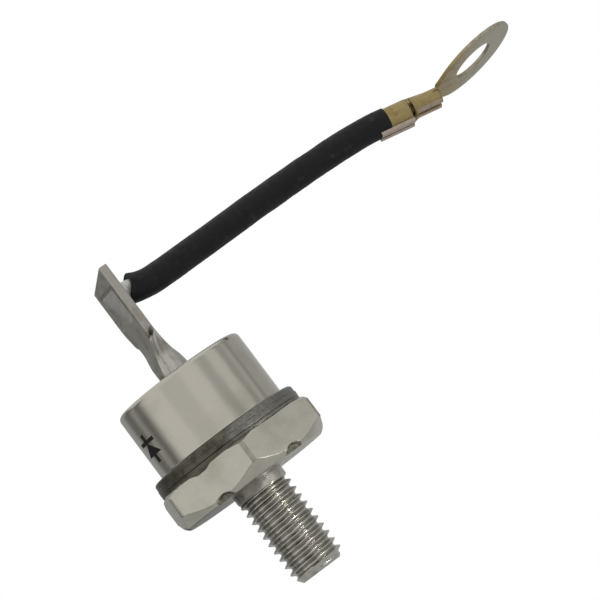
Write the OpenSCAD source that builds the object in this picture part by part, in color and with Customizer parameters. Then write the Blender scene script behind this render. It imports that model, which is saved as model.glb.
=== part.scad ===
// Stud mount diode: a copper hexagon base with a threaded stud, a welded steel cap over the
// silicon stack, a flattened terminal tube, and a short sleeved lead with a ring terminal.
// Millimetres. z = 0 is the seating face of the hexagon, +Z runs along the stud axis towards
// the terminal tube, and +X is the way the lead leaves the blade.

/* [Base] */
// Hexagon size across its flats
hex_across_flats = 23.4; // [22:0.1:27]
// Thickness of the hexagon
hex_height = 5.5; // [4:0.1:9]
// Turn of the hexagon about the stud axis, in degrees
hex_turn = 13; // [0:1:60]
// Slope of the turned chamfer round the seating face, in degrees
hex_chamfer_slope = 42; // [15:1:50]
// How far the chamfer's inner circle lies inside the flats
hex_chamfer_inset = 0.5; // [0.1:0.05:0.8]
// Slope of the turned chamfer on the hexagon's upper corners, in degrees
corner_chamfer_slope = 30; // [15:1:50]
// How far the upper chamfer's circle lies outside the flats
corner_chamfer_outset = 0.5; // [0.1:0.05:1]
// Width of the round notch at the lower edge of each flat
notch_width = 3.2; // [2:0.1:4]
// Height of the notch above the seating face
notch_height = 0.9; // [0.5:0.1:1.5]
// Depth of the notch into the flat
notch_depth = 0.6; // [0.2:0.1:1]
// Major diameter of the stud thread
stud_d = 8; // [6:0.5:10]
// Length of the stud below the seating face
stud_length = 15; // [10:0.5:25]
// Length of the stud's plain neck above its thread
stud_neck = 1; // [0.6:0.1:3]
// Pitch of the stud thread
thread_pitch = 1.25; // [0.8:0.05:1.5]
// Length of the bevel at the stud's end
stud_bevel_length = 1.2; // [0.5:0.1:2]
// Width of the bevel at the stud's end
stud_bevel_width = 0.95; // [0.4:0.05:1.5]
// Diameter of the pedestal that carries the silicon stack
pedestal_d = 14; // [13.5:0.1:16]
// Height of the pedestal above the hexagon
pedestal_height = 2.2; // [1:0.1:3]

/* [Case] */
// Outer diameter of the weld ring
weld_ring_d = 23.5; // [22.5:0.1:25]
// Thickness of the weld ring
weld_ring_height = 1.3; // [0.8:0.1:2]
// Outer diameter of the cap's flange
flange_d = 23.2; // [21.5:0.1:24]
// Thickness of the cap's flange
flange_height = 1.05; // [0.8:0.05:2]
// Rounding of the flange's upper edge
flange_round = 0.6; // [0.1:0.05:0.7]
// Outer diameter of the cap
cap_d = 20.2; // [19:0.1:21]
// Height of the cap above its flange
cap_height = 10.4; // [9:0.1:14]
// Wall thickness of the cap
cap_wall = 1; // [0.6:0.05:1.5]
// Thickness of the cap's roof
roof_thickness = 1.2; // [0.8:0.1:2]
// Rounding of the cap's top edge
cap_round = 0.9; // [0.8:0.1:2.5]
// Outer diameter of the glass seal
seal_d = 10; // [8:0.1:12]
// Thickness of the glass seal
seal_height = 2.8; // [2:0.1:4]
// Depth of the glass below the roof's top face
seal_recess = 0.35; // [0:0.05:0.8]

/* [Silicon stack] */
// Diameter of the lower molybdenum disc
lower_disc_d = 13; // [12.6:0.1:13.4]
// Thickness of the lower molybdenum disc
lower_disc_height = 1; // [0.5:0.1:1.5]
// Diameter of the silicon die
die_d = 12; // [10.5:0.1:12.4]
// Thickness of the silicon die
die_height = 0.4; // [0.2:0.05:0.6]
// Diameter of the upper molybdenum disc
upper_disc_d = 9; // [8:0.1:10]
// Thickness of the upper molybdenum disc
upper_disc_height = 0.8; // [0.5:0.1:1.2]
// Thickness of each solder layer
solder_height = 0.15; // [0.05:0.05:0.3]
// Width of the rubber coating outside the die's edge
coating_width = 0.3; // [0.1:0.05:0.45]
// Height of the rubber coating above the die
coating_height = 0.5; // [0.2:0.05:0.7]
// Diameter of the contact cup's foot
cup_d = 7.6; // [6:0.1:8]
// Thickness of the contact cup's foot
cup_foot_height = 0.8; // [0.5:0.1:1.2]
// Outer diameter of the contact cup's socket
socket_d = 5.2; // [4.6:0.1:5.8]
// Height of the contact cup's socket above its foot
socket_height = 2.6; // [1.5:0.1:3]
// Diameter of the inner lead
inner_lead_d = 3.2; // [2.4:0.1:3.4]

/* [Terminal tube] */
// Outer diameter of the terminal tube
tube_d = 4.7; // [4.4:0.05:5.2]
// Wall of the terminal tube
tube_wall = 0.6; // [0.4:0.05:0.65]
// Length of the tube below the glass
tube_tail = 1; // [0.5:0.1:1.4]
// Length of the tube that stays round above the roof
tube_round_length = 2.4; // [0.5:0.1:4]
// Length over which the tube is pressed flat
press_length = 3.4; // [3:0.1:8]
// Further length over which the flat spreads to its full width
spread_length = 4; // [1:0.1:5]
// Length of the full-width blade, at its middle
blade_length = 7.2; // [6.5:0.1:12]
// Width of the blade
blade_width = 7.1; // [5.5:0.1:7.5]
// Thickness of the blade
blade_thickness = 1.35; // [1:0.05:1.6]
// Offset of the blade from the tube's axis, away from the lead
blade_offset = 0.65; // [0:0.05:1]
// Slant of the blade's cut end, in degrees
blade_slant = 15; // [0:1:20]
// Depth of the fold at each edge where the blade begins
fold_depth = 0.75; // [0:0.05:1]
// Depth of the panel pressed into the blade
panel_depth = 0.2; // [0.1:0.05:0.3]
// Margin between the panel and the blade's edges
panel_margin = 0.9; // [0.5:0.1:1.5]
// Length of the panel
panel_length = 5.2; // [3:0.1:6]

/* [Lead] */
// Height of the lead above the roof where it leaves the blade
lead_height = 13.65; // [12.5:0.05:14.5]
// Diameter of the lead's stranded wire
wire_d = 2.6; // [1.8:0.1:2.8]
// Outer diameter of the lead's sleeve
sleeve_d = 4.2; // [3.8:0.1:5]
// Foot diameter of the solder fillet on the blade
solder_foot_d = 4; // [3:0.1:5]
// Length of the solder fillet along the wire
solder_length = 1.2; // [0.8:0.1:2]

/* [Ring terminal] */
// Sheet thickness of the ring terminal
sheet = 0.55; // [0.4:0.05:0.8]
// Outer diameter of the ring
ring_d = 14.4; // [11:0.1:16]
// Diameter of the ring's hole
ring_hole_d = 6.6; // [4.3:0.1:8.4]
// Length of the crimp next to the sleeve
sleeve_crimp_length = 3.6; // [2.5:0.1:6]
// Length of the crimp that grips the wire
wire_crimp_length = 4.2; // [3:0.1:6]
// Gap between the two crimps
crimp_gap = 0.8; // [0.4:0.1:1.5]
// How far the wire is squeezed in its crimp, as a share of its height
wire_squeeze = 0.6; // [0.5:0.05:0.9]
// Distance from the wire's crimp to the centre of the ring
ring_reach = 7.5; // [7:0.1:12]
// Upward bend of the ring, in degrees
ring_bend = 16; // [0:1:30]
// Twist of the terminal about the lead, in degrees
terminal_twist = -10; // [-45:1:45]

/* [Hidden] */

$fn = 96;

// Cutting tools reach this far past the face they cut
past = 1;
// Side clearance of a piece that slides into another
slip = 0.1;
// Side clearance of a piece that is squeezed or soldered round another
snug = 0.03;

// Levels along the stud axis
ring_z = hex_height;
flange_z = ring_z + weld_ring_height;
cap_z = flange_z + flange_height;
roof_z = cap_z + cap_height;
seal_top_z = roof_z - seal_recess;
seal_z = seal_top_z - seal_height;
tube_z = seal_z - tube_tail;
press_z = roof_z + tube_round_length;
spread_z = press_z + press_length;
blade_z = spread_z + spread_length;
blade_end_z = blade_z + blade_length;
pedestal_top = hex_height + pedestal_height;
lower_disc_z = pedestal_top + solder_height;
die_z = lower_disc_z + lower_disc_height;
upper_disc_z = die_z + die_height;
cup_solder_z = upper_disc_z + upper_disc_height;
cup_z = cup_solder_z + solder_height;
inner_lead_z = cup_z + cup_foot_height;

// Hexagon
hex_corner_r = hex_across_flats / sqrt(3);
hex_chamfer_r = hex_across_flats / 2 - hex_chamfer_inset;
hex_chamfer_reach = hex_chamfer_r + hex_height / tan(hex_chamfer_slope);
corner_chamfer_r = hex_across_flats / 2 + corner_chamfer_outset;
corner_chamfer_reach = corner_chamfer_r + hex_height / tan(corner_chamfer_slope);
notch_r = (pow(notch_width / 2, 2) + pow(notch_height, 2)) / (2 * notch_height);
flats = 6;

// Stud: the thread's form over one pitch, up from a crest's lower edge, as shares of pitch and depth
thread_form = [[0, 0], [0.125, 0], [0.4375, 1], [0.6875, 1]];
thread_depth = 0.54 * thread_pitch;
thread_r = stud_d / 2 - snug;
thread_steps = 16;
thread_lap = stud_neck / 2;
thread_turns = ceil((stud_length - stud_neck + thread_lap) / thread_pitch) + 3;
thread_low = -stud_length - thread_pitch;
thread_end = thread_turns * thread_steps;

// Cap
cap_r = cap_d / 2;
cap_inner_r = cap_r - cap_wall;
collar_wall = cap_wall;

// Terminal tube
tube_bore = tube_d - 2 * tube_wall;
press_steps = 14;
spread_steps = 5;
section_sides = 40;
blade_power = 9;
fold_angle = 20;
fold_reach_below = 2.2;
fold_reach_above = 0.75;
bore_taper_share = 0.7;
bore_taper_end = 0.2;

// Lead: points chosen by hand, counted from the blade's face
lead_route = [
    [0, 0, 0], [1.2, 0, 0], [2.2, 0, -0.2], [3.6, 0, -0.5], [5.6, 0, -0.7], [8.6, -0.1, -0.7],
    [12, -0.2, -0.6], [16, -0.5, -0.5], [20, -0.8, -0.4], [24, -1.2, -0.3], [28, -1.7, -0.25],
    [32, -2.3, -0.25], [36, -3, -0.3], [40.2, -3.82, -0.45], [44.4, -4.72, -0.78], [47.35, -5.4, -1.33]];
sleeve_first = 2;
wire_sides = 8;
sleeve_sides = 12;
wire_r = wire_d / 2;
sleeve_bore_r = (wire_r + slip) / cos(180 / sleeve_sides);

blade_face_x = blade_thickness / 2 - blade_offset;
lead_start = [blade_face_x, 0, roof_z + lead_height];
lead_points = [for (p = lead_route) lead_start + p];
last = len(lead_points) - 1;

// Ring terminal, along its own axis from the sleeve's end
wire_crimp_x = sleeve_crimp_length + crimp_gap;
neck_x = wire_crimp_x + wire_crimp_length;
squeezed_r = wire_r * wire_squeeze;
sleeve_crimp_r = wire_r + sheet;
wire_crimp_r = squeezed_r + sheet;
wire_crimp_half = wire_r - squeezed_r;
seam_width = 0.5;
seam_wings_width = 2.4;
spine_width = 2 * wire_crimp_half + wire_crimp_r;
ring_r = ring_d / 2;
tongue_half = wire_crimp_half + wire_crimp_r;
tangent_turn = acos(min(1, ring_r / norm([ring_reach, tongue_half])));
tangent_angle = 180 - atan2(tongue_half, ring_reach) - tangent_turn;
tangent = [ring_reach + ring_r * cos(tangent_angle), ring_r * sin(tangent_angle)];

// Unit vector along a
function unit(a) = a / norm(a);

// Direction of the route at point i, through the points beside it
function heading(points, i) =
    i == 0 ? unit(points[1] - points[0])
    : i == len(points) - 1 ? unit(points[i] - points[i - 1])
    : unit(unit(points[i + 1] - points[i]) + unit(points[i] - points[i - 1]));

// Compass angle and climb of a direction, in degrees
function azimuth(t) = atan2(t[1], t[0]);
function climb(t) = asin(t[2]);

// Sideways and upward directions of a ring whose axis is t, turned about t by twist
function side_of(t, twist) =
    let (a = azimuth(t), c = climb(t))
    cos(twist) * [-sin(a), cos(a), 0] + sin(twist) * [-sin(c) * cos(a), -sin(c) * sin(a), cos(c)];
function up_of(t, twist) = side_of(t, twist + 90);

// Outline of a round bar with flat sides, squeezed in height
function bar_outline(sides, r, squeeze) =
    [for (k = [0 : sides - 1]) let (a = (k + 0.5) * 360 / sides) [r * cos(a), r * squeeze * sin(a)]];

// An outline set square to t at the point p
function ring_at(outline, p, t, twist) =
    let (v = side_of(t, twist), w = up_of(t, twist)) [for (q = outline) p + q[0] * v + q[1] * w];

// Twist of the lead at its point i
function twist_at(i) = terminal_twist * i / last;

// Faces between ring a and ring b of an equal number of points, seen from outside
function band(a, b, sides) =
    [for (k = [0 : sides - 1])
        let (n = (k + 1) % sides) [a * sides + k, b * sides + k, b * sides + n, a * sides + n]];

// Closed solid through a list of rings
module loft(rings) {
    sides = len(rings[0]);
    count = len(rings);
    polyhedron(
        points = [for (ring = rings) each ring],
        faces = concat(
            [[for (k = [0 : sides - 1]) k]],
            [for (i = [0 : count - 2]) each band(i, i + 1, sides)],
            [[for (k = [sides - 1 : -1 : 0]) (count - 1) * sides + k]]),
        convexity = 6);
}

// Closed pipe between outer rings and inner rings
module pipe_loft(outer, inner) {
    sides = len(outer[0]);
    count = len(outer);
    turn = [for (i = [0 : count - 2]) each band(i, i + 1, sides)];
    bore = [for (i = [0 : count - 2]) each band(count + i + 1, count + i, sides)];
    polyhedron(
        points = concat([for (ring = outer) each ring], [for (ring = inner) each ring]),
        faces = concat(turn, bore, band(count, 0, sides), band(count - 1, 2 * count - 1, sides)),
        convexity = 6);
}

// Disc that stands on the level z
module disc(d, h, z) {
    translate([0, 0, z]) cylinder(d = d, h = h);
}

// Half section of a solid post with a rounded top edge
module rounded_post(r, h, edge) {
    square([r, h - edge]);
    square([r - edge, h]);
    translate([r - edge, h - edge]) intersection() {
        circle(edge);
        square(edge);
    }
}

// Hexagon with a turned chamfer round its seating face, and one on its upper corners
module chamfered_hexagon() {
    intersection() {
        rotate(hex_turn) cylinder(r = hex_corner_r, h = hex_height, $fn = flats);
        cylinder(r1 = hex_chamfer_r, r2 = hex_chamfer_reach, h = hex_height);
        cylinder(r1 = corner_chamfer_reach, r2 = corner_chamfer_r, h = hex_height);
    }
}

// Round notches at the lower edge of the flats
module flat_notches() {
    for (k = [0 : flats - 1])
        rotate(hex_turn + (k + 0.5) * 360 / flats)
            translate([hex_across_flats / 2 - notch_depth, 0, notch_height - notch_r])
                rotate([0, 90, 0]) cylinder(r = notch_r, h = notch_depth + past, $fn = 48);
}

// Point k of the thread's form, s steps along the helix
function thread_point(s, k) =
    let (a = s * 360 / thread_steps, r = thread_r - thread_depth * thread_form[k][1])
    [r * cos(a), r * sin(a), thread_low + thread_pitch * (s / thread_steps + thread_form[k][0])];

// Number of that point, where the form's last point leads to the first one of the next turn
function thread_at(s, k) =
    let (points = len(thread_form)) k < points ? s * points + k : (s + thread_steps) * points;

// Solid bar with a right-handed thread, longer than the stud at both ends
module threaded_bar() {
    points = len(thread_form);
    top_k = points - 1;
    last_turn = thread_end - thread_steps;
    low_centre = (thread_end + 1) * points;
    high_centre = low_centre + 1;
    turn_height = thread_turns * thread_pitch;
    polyhedron(
        points = concat(
            [for (s = [0 : thread_end], k = [0 : top_k]) thread_point(s, k)],
            [[0, 0, thread_low + thread_pitch / 2], [0, 0, thread_low + turn_height]]),
        faces = concat(
            [for (s = [0 : thread_end - 1], k = [0 : s < last_turn ? top_k : top_k - 1]) each
                let (a = thread_at(s, k), b = thread_at(s, k + 1), c = thread_at(s + 1, k + 1))
                [[a, b, c], [a, c, thread_at(s + 1, k)]]],
            [for (s = [0 : thread_steps - 1]) [low_centre, thread_at(s, 0), thread_at(s + 1, 0)]],
            [concat([low_centre], [for (k = [points : -1 : 0]) thread_at(0, k)])],
            [for (s = [last_turn : thread_end - 1])
                [high_centre, thread_at(s + 1, top_k), thread_at(s, top_k)]],
            [concat([high_centre, thread_at(last_turn, top_k)],
                [for (k = [0 : top_k]) thread_at(thread_end, k)])]),
        convexity = 2 * thread_turns);
}

// Threaded part of the stud, with its bevelled end
module stud_thread() {
    end_r = stud_d / 2 - stud_bevel_width;
    intersection() {
        threaded_bar();
        rotate_extrude() polygon([
            [0, -stud_length], [end_r, -stud_length],
            [end_r + 2 * stud_bevel_width, -stud_length + 2 * stud_bevel_length],
            [end_r + 2 * stud_bevel_width, thread_lap - stud_neck], [0, thread_lap - stud_neck]]);
    }
}

// Hexagon, stud and pedestal, forged as one piece
module stud_base() {
    color("#a8a498") {
        difference() {
            chamfered_hexagon();
            flat_notches();
        }
        disc(pedestal_d, pedestal_top, 0);
        disc(stud_d, stud_neck + past, -stud_neck);
        stud_thread();
    }
}

// Steel ring brazed to the hexagon, to which the cap is welded
module weld_ring() {
    color("#6e6c66") difference() {
        disc(weld_ring_d, weld_ring_height, ring_z);
        disc(pedestal_d + 2 * slip, weld_ring_height + 2 * past, ring_z - past);
    }
}

// Drawn steel cap with its flange and the collar round the glass
module cap_shell() {
    full_height = flange_height + cap_height;
    color("#aaa698") translate([0, 0, flange_z]) rotate_extrude() difference() {
        union() {
            rounded_post(flange_d / 2, flange_height, flange_round);
            rounded_post(cap_r, full_height, cap_round);
        }
        difference() {
            translate([0, -past]) square([cap_inner_r, full_height - roof_thickness + past]);
            translate([0, seal_z - flange_z]) square([seal_d / 2 + collar_wall, full_height]);
        }
        square([seal_d / 2, full_height + past]);
    }
}

// Glass between the cap's collar and the terminal tube
module glass_seal() {
    color("#3f4a4a") difference() {
        disc(seal_d, seal_height, seal_z);
        disc(tube_d, seal_height + 2 * past, seal_z - past);
    }
}

// Share of a smooth change that is done at s, from 0 to 1
function ease(s) = let (t = min(max(s, 0), 1)) t * t * (3 - 2 * t);

// Depth of the fold in the tube's edge at the height z, deepest where the blade begins
function fold_at(z) =
    let (below = spread_z - z)
    fold_depth * exp(below < 0 ? below / fold_reach_above : -below / fold_reach_below);

// One section of the pressed tube at the height z
function tube_section(z, z_slope = 0) =
    let (pressed = ease((z - press_z) / press_length),
         squared = ease((z - press_z - press_length / 2) / (spread_length + press_length / 2)),
         half_x = tube_d / 2 + (blade_thickness - tube_d) / 2 * pressed,
         half_y = tube_d / 2 + (blade_width - tube_d) / 2 * pressed,
         power = 2 + (blade_power - 2) * pow(squared, 2),
         fold = fold_at(z) * pressed * (z < blade_z ? 1 : 0))
    [for (k = [0 : section_sides - 1])
        let (a = k * 360 / section_sides,
             off_edge = abs(abs(a > 180 ? a - 360 : a) - 90),
             dent = fold * max(0, 1 - off_edge / fold_angle),
             x = half_x * sign(cos(a)) * pow(abs(cos(a)), 2 / power),
             y = (half_y - dent) * sign(sin(a)) * pow(abs(sin(a)), 2 / power))
        [x - blade_offset * pressed, y, z - y * z_slope]];

// Terminal tube: round in the glass, pressed flat into a blade above the cap
module terminal_tube() {
    press_levels = [for (i = [0 : press_steps]) press_z + press_length * i / press_steps];
    spread_levels = [for (i = [1 : spread_steps]) spread_z + spread_length * i / spread_steps];
    color("#9c998f") difference() {
        loft(concat(
            [for (z = concat([tube_z], press_levels, spread_levels)) tube_section(z)],
            [tube_section(blade_end_z, tan(blade_slant))]));
        disc(tube_bore, press_z - tube_z + past, tube_z - past);
        translate([0, 0, press_z])
            cylinder(r1 = tube_bore / 2, r2 = bore_taper_end, h = press_length * bore_taper_share);
        translate([-blade_offset - blade_thickness / 2 - past, -blade_width / 2 + panel_margin, blade_z])
            cube([past + panel_depth, blade_width - 2 * panel_margin, panel_length]);
    }
}

// Solder between the pedestal and the lower disc
module base_solder() {
    color("#8f9093") disc(lower_disc_d, solder_height, pedestal_top);
}

// Lower molybdenum disc
module lower_disc() {
    color("#77787c") disc(lower_disc_d, lower_disc_height, lower_disc_z);
}

// Silicon die with the rectifying junction
module silicon_die() {
    color("#4a4d57") disc(die_d, die_height, die_z);
}

// Silicone rubber ring over the die's edge
module edge_coating() {
    color("#c8c2b4") difference() {
        disc(die_d + 2 * coating_width, die_height + coating_height, die_z);
        disc(die_d, die_height + past, die_z - past);
        disc(upper_disc_d, coating_height + 2 * past, upper_disc_z - past);
    }
}

// Upper molybdenum disc
module upper_disc() {
    color("#77787c") disc(upper_disc_d, upper_disc_height, upper_disc_z);
}

// Solder between the upper disc and the contact cup
module cup_solder() {
    color("#8f9093") disc(cup_d, solder_height, cup_solder_z);
}

// Copper cup that takes the inner lead
module contact_cup() {
    color("#b87348") difference() {
        union() {
            disc(cup_d, cup_foot_height, cup_z);
            disc(socket_d, cup_foot_height + socket_height, cup_z);
        }
        disc(inner_lead_d + 2 * slip, socket_height + past, inner_lead_z);
    }
}

// Copper lead from the contact cup up into the terminal tube
module inner_lead() {
    color("#b9764c") disc(inner_lead_d, press_z - inner_lead_z, inner_lead_z);
}

// Stranded wire of the lead, squeezed flat in its crimp
module lead_wire() {
    round_bar = bar_outline(wire_sides, wire_r, 1);
    squeezed_bar = bar_outline(wire_sides, wire_r, wire_squeeze);
    t = heading(lead_points, last);
    end = lead_points[last];
    color("#b4b2aa") loft(concat(
        [for (i = [0 : last]) ring_at(round_bar, lead_points[i], heading(lead_points, i), twist_at(i))],
        [ring_at(round_bar, end + t * sleeve_crimp_length, t, terminal_twist),
         ring_at(squeezed_bar, end + t * wire_crimp_x, t, terminal_twist),
         ring_at(squeezed_bar, end + t * neck_x, t, terminal_twist)]));
}

// Solder fillet that holds the wire to the blade
module lead_solder() {
    color("#c0c0bd") translate(lead_start) rotate([0, 90, 0]) difference() {
        cylinder(d1 = solder_foot_d, d2 = wire_d + 2 * slip, h = solder_length);
        rotate(180 / wire_sides)
            translate([0, 0, -past])
                cylinder(r = wire_r + snug, h = solder_length + 2 * past, $fn = wire_sides);
    }
}

// Black insulating sleeve over the wire
module lead_sleeve() {
    outer = bar_outline(sleeve_sides, sleeve_d / 2, 1);
    inner = bar_outline(sleeve_sides, sleeve_bore_r, 1);
    color("#262628") pipe_loft(
        [for (i = [sleeve_first : last]) ring_at(outer, lead_points[i], heading(lead_points, i), twist_at(i))],
        [for (i = [sleeve_first : last]) ring_at(inner, lead_points[i], heading(lead_points, i), twist_at(i))]);
}

// Outline extruded along the terminal's own axis, from x over the given length
module along_lead(x, length) {
    translate([x, 0, 0]) rotate([90, 0, 90]) linear_extrude(length) children();
}

// Crimp next to the sleeve: a band closed round the wire, with the two wings of its seam underneath
module sleeve_crimp() {
    along_lead(0, sleeve_crimp_length) difference() {
        union() {
            circle(sleeve_crimp_r);
            translate([-seam_wings_width / 2, -sleeve_d / 2]) square([seam_wings_width, sleeve_d / 2]);
        }
        polygon(bar_outline(wire_sides, wire_r + snug, 1));
        translate([-seam_width / 2, -sleeve_d]) square([seam_width, sleeve_d]);
    }
}

// Crimp that grips the wire: two wings curled together underneath
module wire_crimp() {
    along_lead(wire_crimp_x, wire_crimp_length) difference() {
        union() {
            for (side = [-1, 1])
                translate([side * wire_crimp_half, 0]) circle(wire_crimp_r);
            translate([-wire_crimp_half, -wire_crimp_r]) square([2 * wire_crimp_half, 2 * wire_crimp_r]);
        }
        polygon(bar_outline(wire_sides, wire_r + snug, wire_squeeze));
        translate([0, -wire_crimp_r]) rotate(45) square(seam_width, center = true);
    }
}

// Flat tongue and ring, bent up from the end of the wire's crimp
module ring_plate() {
    translate([neck_x, 0, squeezed_r]) rotate([0, -ring_bend, 0]) difference() {
        union() {
            translate([ring_reach, 0, 0]) cylinder(r = ring_r, h = sheet);
            linear_extrude(sheet) polygon([
                [0, -tongue_half], [tangent[0], -tangent[1]], tangent, [0, tongue_half]]);
        }
        translate([ring_reach, 0, -past]) cylinder(d = ring_hole_d, h = sheet + 2 * past);
    }
}

// Spine of the terminal above the wire, from the first crimp to the second
module spine() {
    along_lead(sleeve_crimp_length / 2, wire_crimp_x) intersection() {
        difference() {
            circle(sleeve_crimp_r - snug);
            circle(wire_r + 2 * snug);
        }
        translate([-spine_width / 2, 0]) square([spine_width, sleeve_crimp_r]);
    }
}

// Brass ring terminal with its two crimps
module ring_terminal() {
    t = heading(lead_points, last);
    color("#b39a5c") translate(lead_points[last]) rotate([0, -climb(t), azimuth(t)])
        rotate([terminal_twist, 0, 0]) {
            sleeve_crimp();
            wire_crimp();
            spine();
            ring_plate();
        }
}

stud_base();
weld_ring();
cap_shell();
glass_seal();
terminal_tube();
base_solder();
lower_disc();
silicon_die();
edge_coating();
upper_disc();
cup_solder();
contact_cup();
inner_lead();
lead_wire();
lead_solder();
lead_sleeve();
ring_terminal();
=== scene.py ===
"""Looks of a stud mount diode: its meshes, finishes, studio and camera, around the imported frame.

Lengths inside the classes are millimetres along the frame's own axes. Blender's meshes are in metres.
"""

from __future__ import annotations

import logging
import math
from dataclasses import dataclass, field
from enum import Enum, IntEnum
from functools import cache
from typing import Callable, ClassVar, Sequence

import bmesh
import bpy
from mathutils import Matrix, Vector, noise

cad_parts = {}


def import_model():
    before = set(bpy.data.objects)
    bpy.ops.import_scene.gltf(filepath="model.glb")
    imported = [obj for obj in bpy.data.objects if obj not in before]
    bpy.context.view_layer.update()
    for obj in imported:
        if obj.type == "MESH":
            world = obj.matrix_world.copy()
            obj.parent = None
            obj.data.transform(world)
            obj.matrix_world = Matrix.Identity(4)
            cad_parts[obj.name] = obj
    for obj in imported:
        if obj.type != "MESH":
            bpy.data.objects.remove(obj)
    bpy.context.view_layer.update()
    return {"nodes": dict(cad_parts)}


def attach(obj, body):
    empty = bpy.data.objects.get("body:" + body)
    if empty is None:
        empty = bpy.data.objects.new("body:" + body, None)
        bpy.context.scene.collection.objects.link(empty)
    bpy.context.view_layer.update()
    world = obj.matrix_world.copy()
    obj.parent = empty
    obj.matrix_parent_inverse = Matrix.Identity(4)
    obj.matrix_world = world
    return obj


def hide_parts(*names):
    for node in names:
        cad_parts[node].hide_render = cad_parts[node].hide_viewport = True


LOG = logging.getLogger("stud_mount_diode")

MM = 0.001
PICTURE_PX = 600
SENSOR_MM = 36.0
BODY = "root"

# Points closer than the first merge, and faces thinner than the second go, both in metres
MERGE_GAP = 1e-7
FLAT_GAP = 1e-8
# Largest share of a side that the curve at its corner takes
CURVE_SHARE = 0.45
# Values that most of a cloudy texture lies between, and the range of a share
CLOUDS = (0.3, 0.7)
FULL = (0.0, 1.0)
# Sockets of a mix node that hold its two colours and the mixed colour
MIX_COLOURS = (6, 7)
MIX_RESULT = 2

Pair = tuple[float, float]
Triple = tuple[float, float, float]
Mesh = tuple[list[Vector], list[tuple[int, ...]]]
Socket = bpy.types.NodeSocket
Wobble = Callable[[float, float], float]


def ease(share: float) -> float:
    """Smooth step from 0 to 1."""
    share = min(max(share, 0.0), 1.0)
    return share * share * (3 - 2 * share)


def between(low: float, high: float, share: float) -> float:
    """Value that lies at a share of the way from low to high."""
    return low + (high - low) * share


def spread(start: float, end: float, steps: int) -> list[float]:
    """Even row of values from start to end, both included."""
    return [between(start, end, i / steps) for i in range(steps + 1)]


def turns(count: int) -> list[float]:
    """Even angles once round, in radians."""
    return [math.tau * i / count for i in range(count)]


def polar(radius: float, angle: float, z: float = 0.0) -> Vector:
    """Point at a radius and an angle about the Z axis."""
    return Vector((radius * math.cos(angle), radius * math.sin(angle), z))


def around(across: Vector, above: Vector, angle: float) -> Vector:
    """Direction at an angle in the plane of two directions."""
    return across * math.cos(angle) + above * math.sin(angle)


def there_and_back(outer: float, inner: float, places: Sequence[float]) -> list[Pair]:
    """Radius and place along a wall's outer face, and then back along its inner face."""
    return [(outer, p) for p in places] + [(inner, p) for p in reversed(places)]


def soften(line: Sequence[Pair], setbacks: Sequence[float], steps: int = 4) -> list[Pair]:
    """Round the inner corners of an open line.

    Args:
        line: Corners of the line, in order.
        setbacks: Distance from each inner corner at which its curve starts.
        steps: Number of chords in each curve.

    Returns:
        The rounded line, which has as many points for any line of as many corners.
    """
    done = [tuple(line[0])]
    for before, corner, after, setback in zip(line, line[1:], line[2:], setbacks):
        middle = Vector(corner)
        back = Vector(before) - middle
        ahead = Vector(after) - middle
        start = middle + back.normalized() * min(setback, CURVE_SHARE * back.length)
        end = middle + ahead.normalized() * min(setback, CURVE_SHARE * ahead.length)
        for share in spread(0, 1, steps):
            point = start * (1 - share) ** 2 + middle * (2 * share * (1 - share)) + end * share**2
            done.append((point.x, point.y))
    done.append(tuple(line[-1]))
    return done


def soften_loop(loop: Sequence[Pair], setbacks: Sequence[float], steps: int = 4) -> list[Pair]:
    """Round every corner of a closed outline.

    Args:
        loop: Corners of the outline, in order, with the first not repeated.
        setbacks: Distance from each corner at which its curve starts.
        steps: Number of chords in each curve.

    Returns:
        The rounded outline.
    """
    line = [loop[-1], *loop, loop[0]]
    return soften(line, setbacks, steps)[1:-1]


def sweep(rows: Sequence[Sequence[Vector]], closed: bool = False) -> Mesh:
    """Join closed rows of points into one skin.

    Args:
        rows: Rows with an equal number of points, in order.
        closed: Whether the last row joins the first. Otherwise both ends are capped.

    Returns:
        Points and faces of the skin.
    """
    sides = len(rows[0])
    count = len(rows)
    faces: list[tuple[int, ...]] = []
    for i in range(count if closed else count - 1):
        a = i * sides
        b = (i + 1) % count * sides
        for k in range(sides):
            n = (k + 1) % sides
            faces.append((a + k, a + n, b + n, b + k))
    if not closed:
        faces.append(tuple(reversed(range(sides))))
        faces.append(tuple(range((count - 1) * sides, count * sides)))
    return [p for row in rows for p in row], faces


def revolve(profile: Sequence[Pair], segments: int, wobble: Wobble | None = None) -> Mesh:
    """Turn a closed half section about the Z axis.

    Args:
        profile: Radius and height of the section's points.
        segments: Number of steps round the axis.
        wobble: Gives an addition to the radius from the angle in radians and the height.

    Returns:
        Points and faces of the turned skin.
    """
    rows = []
    for angle in turns(segments):
        row = []
        for radius, height in profile:
            reach = radius + (wobble(angle, height) if wobble else 0.0)
            row.append(polar(reach, angle, height))
        rows.append(row)
    return sweep(rows, closed=True)


def joined(meshes: Sequence[Mesh]) -> Mesh:
    """Put several skins together, each still closed in itself.

    Args:
        meshes: Points and faces of each skin.

    Returns:
        Points and faces of them all.
    """
    points: list[Vector] = []
    faces: list[tuple[int, ...]] = []
    for part_points, part_faces in meshes:
        start = len(points)
        points.extend(part_points)
        faces.extend(tuple(start + i for i in face) for face in part_faces)
    return points, faces


def moved(mesh: Mesh, matrix: Matrix) -> Mesh:
    """A skin carried by a matrix."""
    return [matrix @ p for p in mesh[0]], mesh[1]


def add_object(name: str, data: bpy.types.ID) -> bpy.types.Object:
    """Make an object and link it to the scene.

    Args:
        name: Name of the object.
        data: Its mesh, lamp or camera.

    Returns:
        The object.
    """
    added = bpy.data.objects.new(name, data)
    bpy.context.scene.collection.objects.link(added)
    return added


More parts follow.
